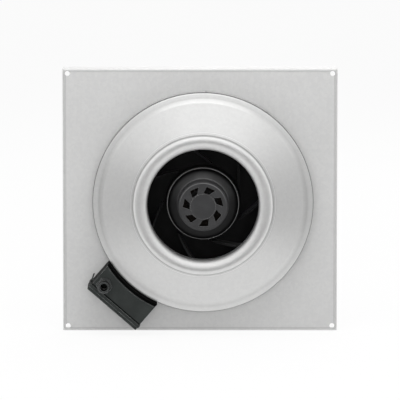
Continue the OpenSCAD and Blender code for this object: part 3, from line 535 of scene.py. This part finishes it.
@dataclass(frozen=True)
class SpunSteel(Finish):
    """Galvanised sheet, spun over a former, with rings round the fan's axis."""

    rings: float = 1500.0
    tones: Span = (0.1, 0.45)
    # Painted shade on walls that run along the axis, further out than side_from.
    side_shading: float = 1.0
    side_shade_colour: Colour = (0.06, 0.06, 0.06)
    side_metallic: float = 0.1
    side_from: float = 0.103
    side_flat: float = 0.75
    side_steep: float = 0.50
    mouth_flat: float = 0.96
    mouth_steep: float = 0.70
    # Painted shade where pieces meet, from ambient occlusion.
    seam_shading: float = 0.85
    seam_shade_reach: float = 0.006
    # Painted shade rings at the nozzle's throat and at the step of the cover.
    throat_radius: float = 0.0838
    throat_width: float = 0.0034
    throat_shading: float = 0.75
    step_radius: float = 0.1568
    step_width: float = 0.0042
    step_shading: float = 0.13
    # A thin painted highlight ring round the axis.
    rim_highlight_radius: float = 0.1090
    rim_highlight_width: float = 0.0012
    rim_highlight_colour: Colour = (0.86, 0.86, 0.86)
    grain_pull: float = 0.35
    relief_depth: float = 0.000006

    def wire(self, w: Wiring, shader: Node, effects: SurfaceEffects) -> None:
        """Wire rings, painted shade on walls, seams, throat and step, a painted highlight ring, less metallic
        walls, a gloss that is drawn out across the rings and a faint relief.

        Args:
            w: The material's wiring.
            shader: Its shader.
            effects: The shared effects.
        """
        spun = w.group(effects.spun_rings, Rings=self.rings)
        tone = w.math("MULTIPLY", spun["Tone"], w.group(effects.spangle)["Tone"])
        # Painted shade on walls, seams, the throat and the step, and one painted highlight ring.
        wall = w.group(effects.wall_shading_mask, Amount=self.side_shading, Flat=self.side_flat,
                       Steep=self.side_steep, Inner=self.side_from)["Outer"]
        seams = w.mask(effects.seam_shade, Amount=self.seam_shading, Reach=self.seam_shade_reach)
        throat = w.mask(effects.ring_line, Radius=self.throat_radius, Width=self.throat_width,
                        Amount=self.throat_shading)
        step = w.mask(effects.ring_line, Radius=self.step_radius, Width=self.step_width,
                      Amount=self.step_shading)
        rim_highlight = w.mask(effects.ring_line, Radius=self.rim_highlight_radius, Width=self.rim_highlight_width)
        # The painted highlight ring takes its light colour, the painted shade its dark one.
        worn_and_painted_colour = w.mix(rim_highlight, rgba(self.side_shade_colour), rgba(self.rim_highlight_colour))
        shown = w.highest(wall, throat, seams, step, rim_highlight)
        self.surface(w, shader, effects, w.span(tone, *self.tones), shown, worn_and_painted_colour)
        mouth = w.group(effects.wall_shading_mask, Amount=1.0, Flat=self.mouth_flat, Steep=self.mouth_steep,
                        Inner=self.side_from)
        matt = w.highest(wall, w.math("SUBTRACT", mouth["Mask"], mouth["Outer"]))
        w.feed(shader.inputs["Metallic"], w.span(matt, 0.0, 1.0, self.metallic, self.side_metallic))
        self.relief(w, shader, spun["Height"], self.relief_depth)
        shader.inputs["Anisotropic"].default_value = self.grain_pull
        around = w.add("ShaderNodeTangent", direction_type="RADIAL", axis="Y")
        w.feed(shader.inputs["Tangent"], around.outputs[0])


@dataclass(frozen=True)
class MouldedPlastic(Finish):
    """Moulded plastic with a fine grain and edges, rubbed on some parts and painted highlights on others."""

    grain: float = 2600.0
    grain_depth: float = 0.00002
    # Edge colour: rubbed on some parts, a painted highlight on the box, gland and fan wheel.
    worn_and_painted_colour: Colour = (0.10, 0.10, 0.10)
    wear_and_highlight: float = 0.5
    edge_reach: float = 0.0007
    flow: float = 1.0
    # Walls take the shade colour: painted shade on the box and gland, painted light on the fan wheel.
    sides: float = 0.0
    sides_from: float = 0.0
    # A painted shade line where the lid meets the box.
    lid_distance: float = 0.0
    lid_line_width: float = 0.0014

    def wire(self, w: Wiring, shader: Node, effects: SurfaceEffects) -> None:
        """Wire grain, flow marks, painted shade on walls and along the lid's line, painted light on the fan
        wheel's walls, and edges that are rubbed or carry painted highlights.

        Args:
            w: The material's wiring.
            shader: Its shader.
            effects: The shared effects.
        """
        moulded = w.group(effects.moulded_grain, Grain=self.grain)
        # Edges: rubbed on most plastics, painted highlights on the box, gland and fan wheel.
        worn_and_painted = w.mask(effects.edge_wear_and_highlight, Radius=self.edge_reach, Amount=self.wear_and_highlight)
        marks = w.span(moulded["Tone"], *NOISE_NARROW, to_high=self.flow)
        # Painted shade on the walls of the box and gland, painted light on the fan wheel's walls.
        walls = w.group(effects.wall_shading_mask, Amount=self.sides, Inner=self.sides_from)["Outer"]
        tone = w.highest(marks, walls)
        if self.lid_distance:
            # Painted shade along the lid's line.
            line = w.mask(effects.lid_line, Distance=self.lid_distance, Width=self.lid_line_width)
            tone = w.highest(tone, line)
            worn_and_painted = w.math("SUBTRACT", worn_and_painted, line)
        self.surface(w, shader, effects, tone, worn_and_painted, rgba(self.worn_and_painted_colour))
        self.relief(w, shader, moulded["Height"], self.grain_depth)


@dataclass(frozen=True)
class SatinPaint(Finish):
    """Satin paint over a deep-drawn steel bell."""

    peel: float = 420.0
    peel_depth: float = 0.00003
    peel_share: float = 0.2
    # Colour of rubbed edges, of the painted sheen and of the painted highlight rims.
    worn_and_painted_colour: Colour = (0.25, 0.25, 0.25)
    wear_and_highlight: float = 0.7
    edge_reach: float = 0.0008
    face_radius: float = 0.0385
    face_fade: float = 0.001
    # Painted shade of the dome: its tone where it starts and how far out it deepens.
    dome_tone: float = 0.70
    dome_reach: float = 0.0125
    # A painted sheen on the top of the dome.
    sheen: float = 0.24
    sheen_steep: float = 0.02
    sheen_level: float = 0.28
    # Painted highlights on two rims, on their upper side.
    rims: tuple[float, ...] = (0.0350, 0.0396)
    rim_width: float = 0.0010
    rim_highlight_amount: float = 0.6
    # Past any slope, so that walls and flat faces both count.
    any_flat: float = 2.0
    any_steep: float = 1.5

    def wire(self, w: Wiring, shader: Node, effects: SurfaceEffects) -> None:
        """Wire orange peel, painted shade on the dome that darkens away from the flat face, a painted sheen
        on its top, painted highlights on thin rims, and rubbed edges.

        Args:
            w: The material's wiring.
            shader: Its shader.
            effects: The shared effects.
        """
        peel = w.group(effects.moulded_grain, Grain=self.peel)
        start, fade = (w.group(effects.wall_shading_mask, Amount=1.0, Flat=self.any_flat, Steep=self.any_steep,
                               Inner=self.face_radius, Fade=reach)["Outer"]
                       for reach in (self.face_fade, self.dome_reach))
        # Painted shade: the dome darkens away from the flat face.
        dome = w.math("MULTIPLY", start, w.span(fade, 0.0, 1.0, self.dome_tone, 1.0))
        tone = w.highest(w.span(peel["Tone"], *NOISE_NARROW, to_high=self.peel_share), dome)
        # Painted sheen of top light on the dome near the face.
        top = w.mask(effects.dust_and_sheen, Amount=1.0, Steep=self.sheen_steep, Level=self.sheen_level)
        lit = w.math("MULTIPLY", w.math("SUBTRACT", start, fade), w.math("MULTIPLY", top, self.sheen))
        worn_and_painted = w.highest(w.mask(effects.edge_wear_and_highlight, Radius=self.edge_reach, Amount=self.wear_and_highlight), lit)
        # Painted highlights along two rims, on their tops.
        for rim in self.rims:
            line = w.mask(effects.ring_line, Radius=rim, Width=self.rim_width, Amount=self.rim_highlight_amount)
            worn_and_painted = w.highest(worn_and_painted, w.math("MULTIPLY", line, top))
        self.surface(w, shader, effects, tone, worn_and_painted, rgba(self.worn_and_painted_colour))
        self.relief(w, shader, peel["Height"], self.peel_depth)


@dataclass(frozen=True)
class PlatedMetal(Finish):
    """Plated, ground or cast metal of small pieces."""

    clouds: float = 220.0
    grain_per_cloud: float = 8.0
    relief_depth: float = 0.00001
    wear_and_highlight: float = 0.6
    edge_reach: float = 0.0004
    brightening: float = 1.25

    def wire(self, w: Wiring, shader: Node, effects: SurfaceEffects) -> None:
        """Wire clouded plating, bright edges and a faint relief.

        Args:
            w: The material's wiring.
            shader: Its shader.
            effects: The shared effects.
        """
        cast = w.group(effects.moulded_grain, Grain=self.clouds * self.grain_per_cloud, Flow=self.clouds)
        worn_and_painted = w.mask(effects.edge_wear_and_highlight, Radius=self.edge_reach, Amount=self.wear_and_highlight)
        bright = tuple(min(1.0, self.brightening * value) for value in self.colour)
        self.surface(w, shader, effects, w.span(cast["Tone"], *NOISE_WIDE), worn_and_painted, rgba(bright))
        self.relief(w, shader, cast["Height"], self.relief_depth)


@dataclass(frozen=True)
class LaminatedIron(Finish):
    """Stamped laminations, stacked along the fan's axis."""

    sheet: float = 0.0005
    joint: Span = (0.3, 0.5)
    relief_depth: float = 0.00005

    def wire(self, w: Wiring, shader: Node, effects: SurfaceEffects) -> None:
        """Wire the lines between the laminations.

        Args:
            w: The material's wiring.
            shader: Its shader.
            effects: The shared effects.
        """
        phase = w.math("FRACT", w.math("DIVIDE", w.split(w.place())["Y"], self.sheet))
        line = w.span(w.math("ABSOLUTE", w.math("SUBTRACT", phase, 0.5)), *self.joint)
        self.surface(w, shader, effects, line)
        self.relief(w, shader, w.math("SUBTRACT", 1.0, line), self.relief_depth)


@dataclass(frozen=True)
class EnamelledWire(Finish):
    """A coil of enamelled wire, wound round the fan's axis."""

    turns: float = 900.0
    relief_depth: float = 0.0002

    def wire(self, w: Wiring, shader: Node, effects: SurfaceEffects) -> None:
        """Wire the strands.

        Args:
            w: The material's wiring.
            shader: Its shader.
            effects: The shared effects.
        """
        strands = w.group(effects.spun_rings, Rings=self.turns)
        self.surface(w, shader, effects, w.span(strands["Tone"], *NOISE_NARROW))
        self.relief(w, shader, strands["Height"], self.relief_depth)


FINISHES: dict[Slot, Finish] = {
    # Wall plate: painted shade on a line where each fold begins and on the bend.
    Slot.PLATE_STEEL: SheetSteel((0.62, 0.62, 0.615), (0.59, 0.59, 0.588), (0.40, 0.50), metallic=0.45),
    # Spun steel: painted shade on walls, seams, the throat and the step, and a painted highlight ring.
    Slot.SPUN_STEEL: SpunSteel((0.61, 0.61, 0.605), (0.575, 0.575, 0.572), (0.28, 0.33), metallic=0.66),
    # Fan wheel: painted light on blade walls further out than 60 mm, painted highlights along edges.
    Slot.WHEEL_PLASTIC: MouldedPlastic(
        (0.003, 0.003, 0.0031), (0.034, 0.034, 0.035), (0.36, 0.46), gloss=0.10, worn_and_painted_colour=(0.036, 0.036, 0.036),
        wear_and_highlight=0.8, edge_reach=0.0012, flow=0.04, sides=1.0, sides_from=0.060),
    # Rotor: painted shade darkens the dome away from the face; a painted sheen and painted highlight rims lie
    # on its top.
    Slot.ROTOR_PAINT: SatinPaint(
        (0.036, 0.036, 0.037), (0.0012, 0.0012, 0.0013), (0.38, 0.44), dust=0.0, gloss=0.14),
    # Terminal box: painted shade on walls and along the lid's line, painted highlights along edges.
    Slot.BOX_PLASTIC: MouldedPlastic(
        (0.031, 0.034, 0.033), (0.003, 0.0035, 0.0035), (0.36, 0.46), dust=0.0, gloss=0.01,
        worn_and_painted_colour=(0.30, 0.31, 0.305), wear_and_highlight=1.0, edge_reach=0.0010, flow=0.22, sides=0.95, lid_distance=0.1992),
    # Cable gland: painted shade on walls, painted highlights along edges.
    Slot.GLAND_PLASTIC: MouldedPlastic(
        (0.034, 0.036, 0.036), (0.003, 0.003, 0.003), (0.36, 0.46), dust=0.0, gloss=0.08,
        worn_and_painted_colour=(0.20, 0.21, 0.21), wear_and_highlight=1.0, edge_reach=0.0008, flow=0.2, sides=0.95),
    Slot.ZINC_FASTENER: PlatedMetal((0.62, 0.62, 0.60), (0.50, 0.50, 0.48), (0.28, 0.42), metallic=0.95),
    Slot.DARK_STEEL: PlatedMetal((0.31, 0.31, 0.31), (0.25, 0.25, 0.25), (0.32, 0.44), metallic=0.8),
    Slot.GROUND_STEEL: PlatedMetal((0.68, 0.68, 0.68), (0.58, 0.58, 0.58), (0.14, 0.24), metallic=1.0),
    Slot.CAST_ALLOY: PlatedMetal(
        (0.56, 0.56, 0.56), (0.46, 0.46, 0.46), (0.42, 0.58), metallic=0.9, clouds=90.0,
        relief_depth=0.00006),
    Slot.CORE_IRON: LaminatedIron((0.20, 0.20, 0.21), (0.06, 0.06, 0.06), (0.40, 0.55), metallic=0.8),
    Slot.WINDING_COPPER: EnamelledWire(
        (0.013, 0.009, 0.007), (0.007, 0.005, 0.004), (0.40, 0.52), metallic=0.3),
    Slot.SOFT_RUBBER: MouldedPlastic(
        (0.0018, 0.0018, 0.0018), (0.0012, 0.0012, 0.0012), (0.80, 0.92), dust=0.0, gloss=0.02,
        worn_and_painted_colour=(0.004, 0.004, 0.004), wear_and_highlight=0.2),
    Slot.LEAD_SHEATH: MouldedPlastic((0.026, 0.026, 0.027), (0.019, 0.019, 0.020), (0.42, 0.55), wear_and_highlight=0.2),
    Slot.TERMINAL_NYLON: MouldedPlastic(
        (0.70, 0.67, 0.58), (0.62, 0.59, 0.50), (0.35, 0.48), worn_and_painted_colour=(0.78, 0.76, 0.70)),
    Slot.CAPACITOR_CASE: MouldedPlastic(
        (0.72, 0.72, 0.70), (0.66, 0.66, 0.64), (0.24, 0.34), worn_and_painted_colour=(0.80, 0.80, 0.79), grain_depth=0.000006),
    Slot.TERMINAL_BRASS: PlatedMetal((0.68, 0.50, 0.20), (0.54, 0.38, 0.14), (0.22, 0.36), metallic=1.0),
}


class Wardrobe:
    """Makes each finish once and hands out its material."""

    def __init__(self, effects: SurfaceEffects) -> None:
        """Keep the effects and the record's slot of each node.

        Args:
            effects: The shared effects.
        """
        self.effects = effects
        self.made: dict[Slot, Material] = {}
        self.slots = {part["node"]: Slot(part["material_slot"]) for part in frame["record"]["subparts"]}

    def material(self, slot: Slot) -> Material:
        """Give a slot's material.

        Args:
            slot: The record's slot.

        Returns:
            Its material, made at the first call.
        """
        if slot not in self.made:
            self.made[slot] = FINISHES[slot].build(slot.value, self.effects)
        return self.made[slot]

    def dress(self, name: str, crease_deg: float) -> Object:
        """Smooth a CAD node's shading and give it its finish.

        Args:
            name: The node.
            crease_deg: Angle above which an edge stays sharp.

        Returns:
            The node's object.
        """
        node = frame["nodes"][name]
        node.data.shade_smooth()
        node.data.set_sharp_from_angle(angle=math.radians(crease_deg))
        node.data.materials.clear()
        node.data.materials.append(self.material(self.slots[name]))
        LOG.info("dressed %s in %s", name, self.slots[name].value)
        return node


@dataclass
class SubAssembly:
    """Nodes that belong together, how their edges are shaded and whether polished faces mirror them."""

    nodes: tuple[str, ...] = ()
    crease_deg: float = 32.0
    mirrored: bool = True

    def dress(self, wardrobe: Wardrobe) -> None:
        """Dress every node."""
        for name in self.nodes:
            wardrobe.dress(name, self.crease_deg).visible_glossy = self.mirrored


@dataclass(frozen=True)
class Wire:
    """One insulated wire inside the terminal box, with its route in millimetres."""

    name: str
    colour: Colour
    route: tuple[Place, ...]
    radius: float = 0.00075
    sides: int = 12
    steps: int = 8
    shade_share: float = 0.8
    rough: Span = (0.30, 0.42)
    grain_depth: float = 0.000005

    def build(self, effects: SurfaceEffects, placed: Callable[[Place], Vector]) -> None:
        """Sweep the wire along its route and let it ride on the casing.

        Args:
            effects: The shared effects.
            placed: Turns a place of the route into the row frame.
        """
        points = self._smoothed([placed(place) for place in self.route])
        mesh = bpy.data.meshes.new(self.name)
        mesh.from_pydata(*self._tube(points))
        mesh.shade_smooth()
        shade = tuple(self.shade_share * value for value in self.colour)
        finish = MouldedPlastic(self.colour, shade, self.rough, wear_and_highlight=0.0, grain_depth=self.grain_depth)
        mesh.materials.append(finish.build(self.name, effects))
        wire = bpy.data.objects.new(self.name, mesh)
        bpy.context.scene.collection.objects.link(wire)
        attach(wire, "fan_casing")
        LOG.info("laid %s over %d points", self.name, len(points))

    def _smoothed(self, knots: list[Vector]) -> list[Vector]:
        """Lay a smooth curve through the route.

        Args:
            knots: The route.

        Returns:
            Points on a curve that passes through all of it.
        """
        ends = [2 * knots[0] - knots[1], *knots, 2 * knots[-1] - knots[-2]]
        points = []
        # A Catmull-Rom spline: the curve from b to c also takes its direction from a and d.
        for a, b, c, d in zip(ends, ends[1:], ends[2:], ends[3:]):
            for step in range(self.steps):
                t = step / self.steps
                points.append(0.5 * (2 * b + (c - a) * t + (2 * a - 5 * b + 4 * c - d) * t * t
                                     + (3 * b - 3 * c + d - a) * t * t * t))
        return [*points, knots[-1]]

    def _tube(self, points: list[Vector]) -> tuple[list[Vector], list[Any], list[list[int]]]:
        """Sweep a circle along the points without twist.

        Args:
            points: The middle line.

        Returns:
            Vertices, no loose edges, and faces with both ends closed.
        """
        ways = [(b - a).normalized() for a, b in zip(points, points[1:])]
        ways.append(ways[-1])
        across = ways[0].orthogonal().normalized()
        vertices: list[Vector] = []
        for point, way in zip(points, ways):
            across = (across - way * across.dot(way)).normalized()
            up = way.cross(across)
            for side in range(self.sides):
                turn = math.tau * side / self.sides
                vertices.append(point + self.radius * (math.cos(turn) * across + math.sin(turn) * up))
        n = self.sides
        rings = range(len(points) - 1)
        faces = [[r * n + s, r * n + (s + 1) % n, (r + 1) * n + (s + 1) % n, (r + 1) * n + s]
                 for r in rings for s in range(n)]
        last = len(vertices) - n
        faces += [list(reversed(range(n))), list(range(last, last + n))]
        return vertices, [], faces


@dataclass
class WallPlate(SubAssembly):
    """The folded plate that is screwed to the wall."""

    nodes: tuple[str, ...] = ("wall_plate",)


@dataclass
class Casing(SubAssembly):
    """Ring, spun cover, nozzle and outlet pan."""

    nodes: tuple[str, ...] = ("casing_ring", "casing_front", "inlet_nozzle", "outlet_pan", "pan_rivets")


@dataclass
class Motor(SubAssembly):
    """External-rotor motor on its bracket, with its lead."""

    nodes: tuple[str, ...] = (
        "motor_bracket", "bracket_screws", "motor_flange", "motor_screws", "stator_core", "stator_winding",
        "front_bearing", "rear_bearing", "motor_lead", "lead_grommet", "lead_tie", "rotor_bell", "rotor_core",
        "motor_shaft", "shaft_circlip", "preload_washer")


@dataclass
class FanWheel(SubAssembly):
    """Wheel with backward-curved blades, its shroud and its retaining ring."""

    nodes: tuple[str, ...] = ("fan_wheel", "wheel_shroud", "wheel_retainer")


@dataclass
class TerminalBox(SubAssembly):
    """Terminal box with its lid, what is inside it and its cable gland."""

    nodes: tuple[str, ...] = (
        "terminal_box", "box_seal", "box_screws", "terminal_block", "terminal_screws", "run_capacitor",
        "earth_screw", "gland_body", "gland_seal", "gland_nut", "box_lid", "lid_seal")
    mirrored: bool = False
    angle_deg: float = 229.0
    wires: tuple[Wire, ...] = (
        Wire("wire_brown", (0.075, 0.026, 0.010), (
            (180.4, 15.6, 16.4), (181.4, 13.9, 19.4), (180.6, 12.4, 25.0), (177.4, 9.6, 28.4),
            (174.5, 8.1, 26.4), (174.4, 8.0, 20.6))),
        Wire("wire_blue", (0.012, 0.045, 0.200), (
            (180.6, 15.6, 15.4), (182.9, 13.8, 19.8), (183.6, 9.4, 27.6), (179.6, 2.6, 31.0),
            (174.9, 0.1, 28.0), (174.4, 0.0, 20.6))),
        Wire("wire_black", (0.010, 0.010, 0.010), (
            (180.0, 15.6, 16.8), (184.2, 14.0, 20.8), (186.2, 8.0, 27.4), (182.0, -4.6, 31.2),
            (175.4, -8.6, 28.2), (174.4, -8.7, 20.6))),
        Wire("wire_earth", (0.110, 0.230, 0.020), (
            (179.0, 15.6, 17.2), (185.6, 13.6, 22.0), (188.0, 5.0, 26.4), (185.6, -14.0, 28.0),
            (177.0, -25.4, 25.6), (171.6, -26.2, 18.4))),
        Wire("wire_run", (0.020, 0.020, 0.021), (
            (184.4, 38.6, 43.8), (184.6, 42.4, 41.4), (187.2, 42.4, 33.0), (190.6, 35.0, 27.6),
            (190.0, 10.0, 25.6), (185.0, -12.6, 29.8), (175.6, -16.0, 28.4), (174.4, -16.0, 20.6))),
        Wire("wire_start", (0.300, 0.290, 0.270), (
            (188.2, 38.6, 43.8), (188.4, 42.8, 41.4), (190.4, 42.6, 32.0), (193.0, 34.0, 28.0),
            (192.2, 12.0, 27.4), (186.8, -4.0, 32.0), (176.0, -7.2, 29.0), (174.4, -7.2, 20.6))),
    )

    def dress(self, wardrobe: Wardrobe) -> None:
        """Dress every node and lay the wires that join the pieces inside the box.

        Args:
            wardrobe: Hands out the materials.
        """
        super().dress(wardrobe)
        effects = wardrobe.effects
        for wire in self.wires:
            wire.build(effects, lambda place: self.placed(place, effects.axis_x))

    def placed(self, place: Place, axis_x: float) -> Vector:
        """Turn a place in the box into one in the row frame.

        Args:
            place: Millimetres outwards from the fan's axis, along the box and towards the viewer.
            axis_x: Place of the fan's axis along X, in metres.

        Returns:
            The place in metres.
        """
        out, along, front = (MM * value for value in place)
        turn = math.radians(self.angle_deg)
        cos, sin = math.cos(turn), math.sin(turn)
        return Vector((out * cos - along * sin + axis_x, -front, out * sin + along * cos))


@dataclass
class Lamp:
    """One soft box, aimed at the origin."""

    name: str
    place: Place
    size: Span
    watts: float
    mirrored: bool = True

    def build(self) -> None:
        """Make the lamp."""
        data = bpy.data.lights.new(self.name, "AREA")
        data.shape = "RECTANGLE"
        data.size, data.size_y = self.size
        data.energy = self.watts
        lamp = bpy.data.objects.new(self.name, data)
        lamp.location = self.place
        lamp.visible_glossy = self.mirrored
        lamp.rotation_mode = "QUATERNION"
        lamp.rotation_quaternion = (-Vector(self.place)).to_track_quat("-Z", "Y")
        bpy.context.scene.collection.objects.link(lamp)
        LOG.info("placed lamp %s", self.name)


@dataclass
class Studio:
    """Pale floor, white background, soft boxes and the camera."""

    floor_z: float
    floor_size: float = 60.0
    floor_grey: float = 0.92
    floor_rough: float = 0.9
    white_share: float = 0.90
    light_level: float = 0.62
    # How far a reflection looks to the front and the room's grey there, then how far up and down the room
    # turns white.
    room: tuple[Span, ...] = (
        (-0.10, 1.0), (0.15, 0.30), (0.38, 0.30), (0.56, 0.46), (0.76, 0.46), (1.0, 0.22))
    ceiling: Span = (0.20, 0.45)
    ground: Span = (-0.30, -0.60)
    elevation_deg: float = 7.0
    distance: float = 7.0
    clip_end: float = 200.0
    pixels_per_metre: float = 661.3
    sensor: float = 36.0
    lamps: tuple[Lamp, ...] = (
        Lamp("soft_box_front", (0.2, -1.7, 1.9), (2.4, 1.2), 3.0),
        Lamp("soft_box_top", (0.0, -0.9, 1.3), (1.2, 0.5), 5.0, mirrored=False),
        Lamp("soft_box_above", (0.0, -0.5, 2.4), (2.4, 1.4), 10.5),
        Lamp("soft_box_left", (-2.6, -1.1, 0.3), (0.8, 1.8), 5.0, mirrored=False),
        Lamp("soft_box_right", (2.6, -1.1, 0.3), (0.8, 1.8), 6.0, mirrored=False),
        Lamp("soft_box_fill", (0.0, -5.0, 0.5), (3.0, 1.2), 112.0, mirrored=False),
        Lamp("soft_box_behind", (0.4, 2.2, 1.8), (1.6, 1.0), 16.0),
    )

    def build(self) -> None:
        """Set up the whole studio."""
        bpy.context.scene.view_settings.view_transform = "Standard"
        self._world()
        self._floor()
        for lamp in self.lamps:
            lamp.build()
        self._camera()

    @staticmethod
    def _shown(w: Wiring) -> NodeSocket:
        """Give one for rays that show the background, and zero for those that light the object."""
        path = w.add("ShaderNodeLightPath").outputs
        return w.highest(*(path[f"Is {kind} Ray"] for kind in ("Camera", "Glossy", "Transmission")))

    def _white(self, w: Wiring) -> NodeSocket:
        """Give the white that is shown, greyer in reflections of the room in front of the fan.

        Args:
            w: The wiring of the world's tree.

        Returns:
            The colour.
        """
        mirrored = w.add("ShaderNodeLightPath").outputs["Is Glossy Ray"]
        way = w.split(w.add("ShaderNodeTexCoord").outputs["Generated"])
        below_ceiling = w.span(way["Z"], *self.ceiling, 1.0, 0.0)
        above_floor = w.span(way["Z"], *self.ground, 1.0, 0.0)
        level = w.math("MINIMUM", below_ceiling, above_floor)
        start = self.room[0][0]
        ramp = w.add("ShaderNodeValToRGB", {0: w.span(way["Y"], -start, -1.0)})
        stops = ramp.color_ramp.elements
        for place, grey in self.room:
            at = (place - start) / (1.0 - start)
            stop = stops[0] if at == 0.0 else stops[-1] if at == 1.0 else stops.new(at)
            stop.color = rgba((grey, grey, grey))
        return w.mix(w.math("MULTIPLY", mirrored, level), rgba(WHITE), ramp.outputs[0])

    def _world(self) -> None:
        """Light evenly from all sides and show white."""
        world = bpy.data.worlds.new("studio")
        world.use_nodes = True
        bpy.context.scene.world = world
        w = Wiring(world.node_tree)
        world.node_tree.nodes.clear()
        light = w.add("ShaderNodeBackground", {"Color": rgba(WHITE), "Strength": self.light_level})
        white = w.add("ShaderNodeBackground", {"Color": self._white(w), "Strength": 1.0})
        mixed = w.add("ShaderNodeMixShader", {0: self._shown(w), 1: light.outputs[0], 2: white.outputs[0]})
        w.add("ShaderNodeOutputWorld", {"Surface": mixed.outputs[0]})

    def _floor(self) -> None:
        """Lay the floor under the plate; reflections look through it to the room."""
        half = self.floor_size / 2
        mesh = bpy.data.meshes.new("studio_floor")
        corners = ((-half, -half), (half, -half), (half, half), (-half, half))
        mesh.from_pydata([(x, y, self.floor_z) for x, y in corners], [], [(0, 1, 2, 3)])
        floor = bpy.data.objects.new("studio_floor", mesh)
        bpy.context.scene.collection.objects.link(floor)
        material = bpy.data.materials.new("pale_floor")
        material.use_nodes = True
        w = Wiring(material.node_tree)
        paint = material.node_tree.nodes["Principled BSDF"]
        w.feed(paint.inputs["Base Color"], rgba((self.floor_grey, self.floor_grey, self.floor_grey)))
        w.feed(paint.inputs["Roughness"], self.floor_rough)
        white = w.add("ShaderNodeEmission", {"Color": rgba(WHITE), "Strength": 1.0})
        share = w.math("MULTIPLY", self._shown(w), self.white_share)
        mixed = w.add("ShaderNodeMixShader", {0: share, 1: paint.outputs[0], 2: white.outputs[0]})
        w.feed(material.node_tree.nodes["Material Output"].inputs["Surface"], mixed.outputs[0])
        mesh.materials.append(material)
        floor.visible_glossy = False

    def _camera(self) -> None:
        """Stand the camera where the photograph was taken."""
        data = bpy.data.cameras.new("photo_camera")
        data.sensor_width = self.sensor
        data.lens = self.sensor * self.distance * self.pixels_per_metre / PHOTO_PIXELS
        data.clip_end = self.clip_end
        rise = math.radians(self.elevation_deg)
        back = Vector((0.0, -math.cos(rise), math.sin(rise)))
        camera = bpy.data.objects.new("photo_camera", data)
        camera.location = back * self.distance
        camera.rotation_mode = "QUATERNION"
        camera.rotation_quaternion = (-back).to_track_quat("-Z", "Y")
        bpy.context.scene.collection.objects.link(camera)
        bpy.context.scene.camera = camera


def main() -> None:
    """Build the studio and dress the fan."""
    logging.basicConfig(level=logging.INFO, format="%(name)s: %(message)s")
    low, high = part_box("casing_front")
    Studio(floor_z=CAD_BOX[0].z).build()
    box = TerminalBox()
    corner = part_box("wall_plate")[1]
    axis_x = (low.x + high.x) / 2
    wardrobe = Wardrobe(SurfaceEffects(axis_x, math.radians(box.angle_deg), (corner.x, corner.z)))
    for assembly in (WallPlate(), Casing(), Motor(), FanWheel(), box):
        assembly.dress(wardrobe)


if __name__ == "__main__":
    main()
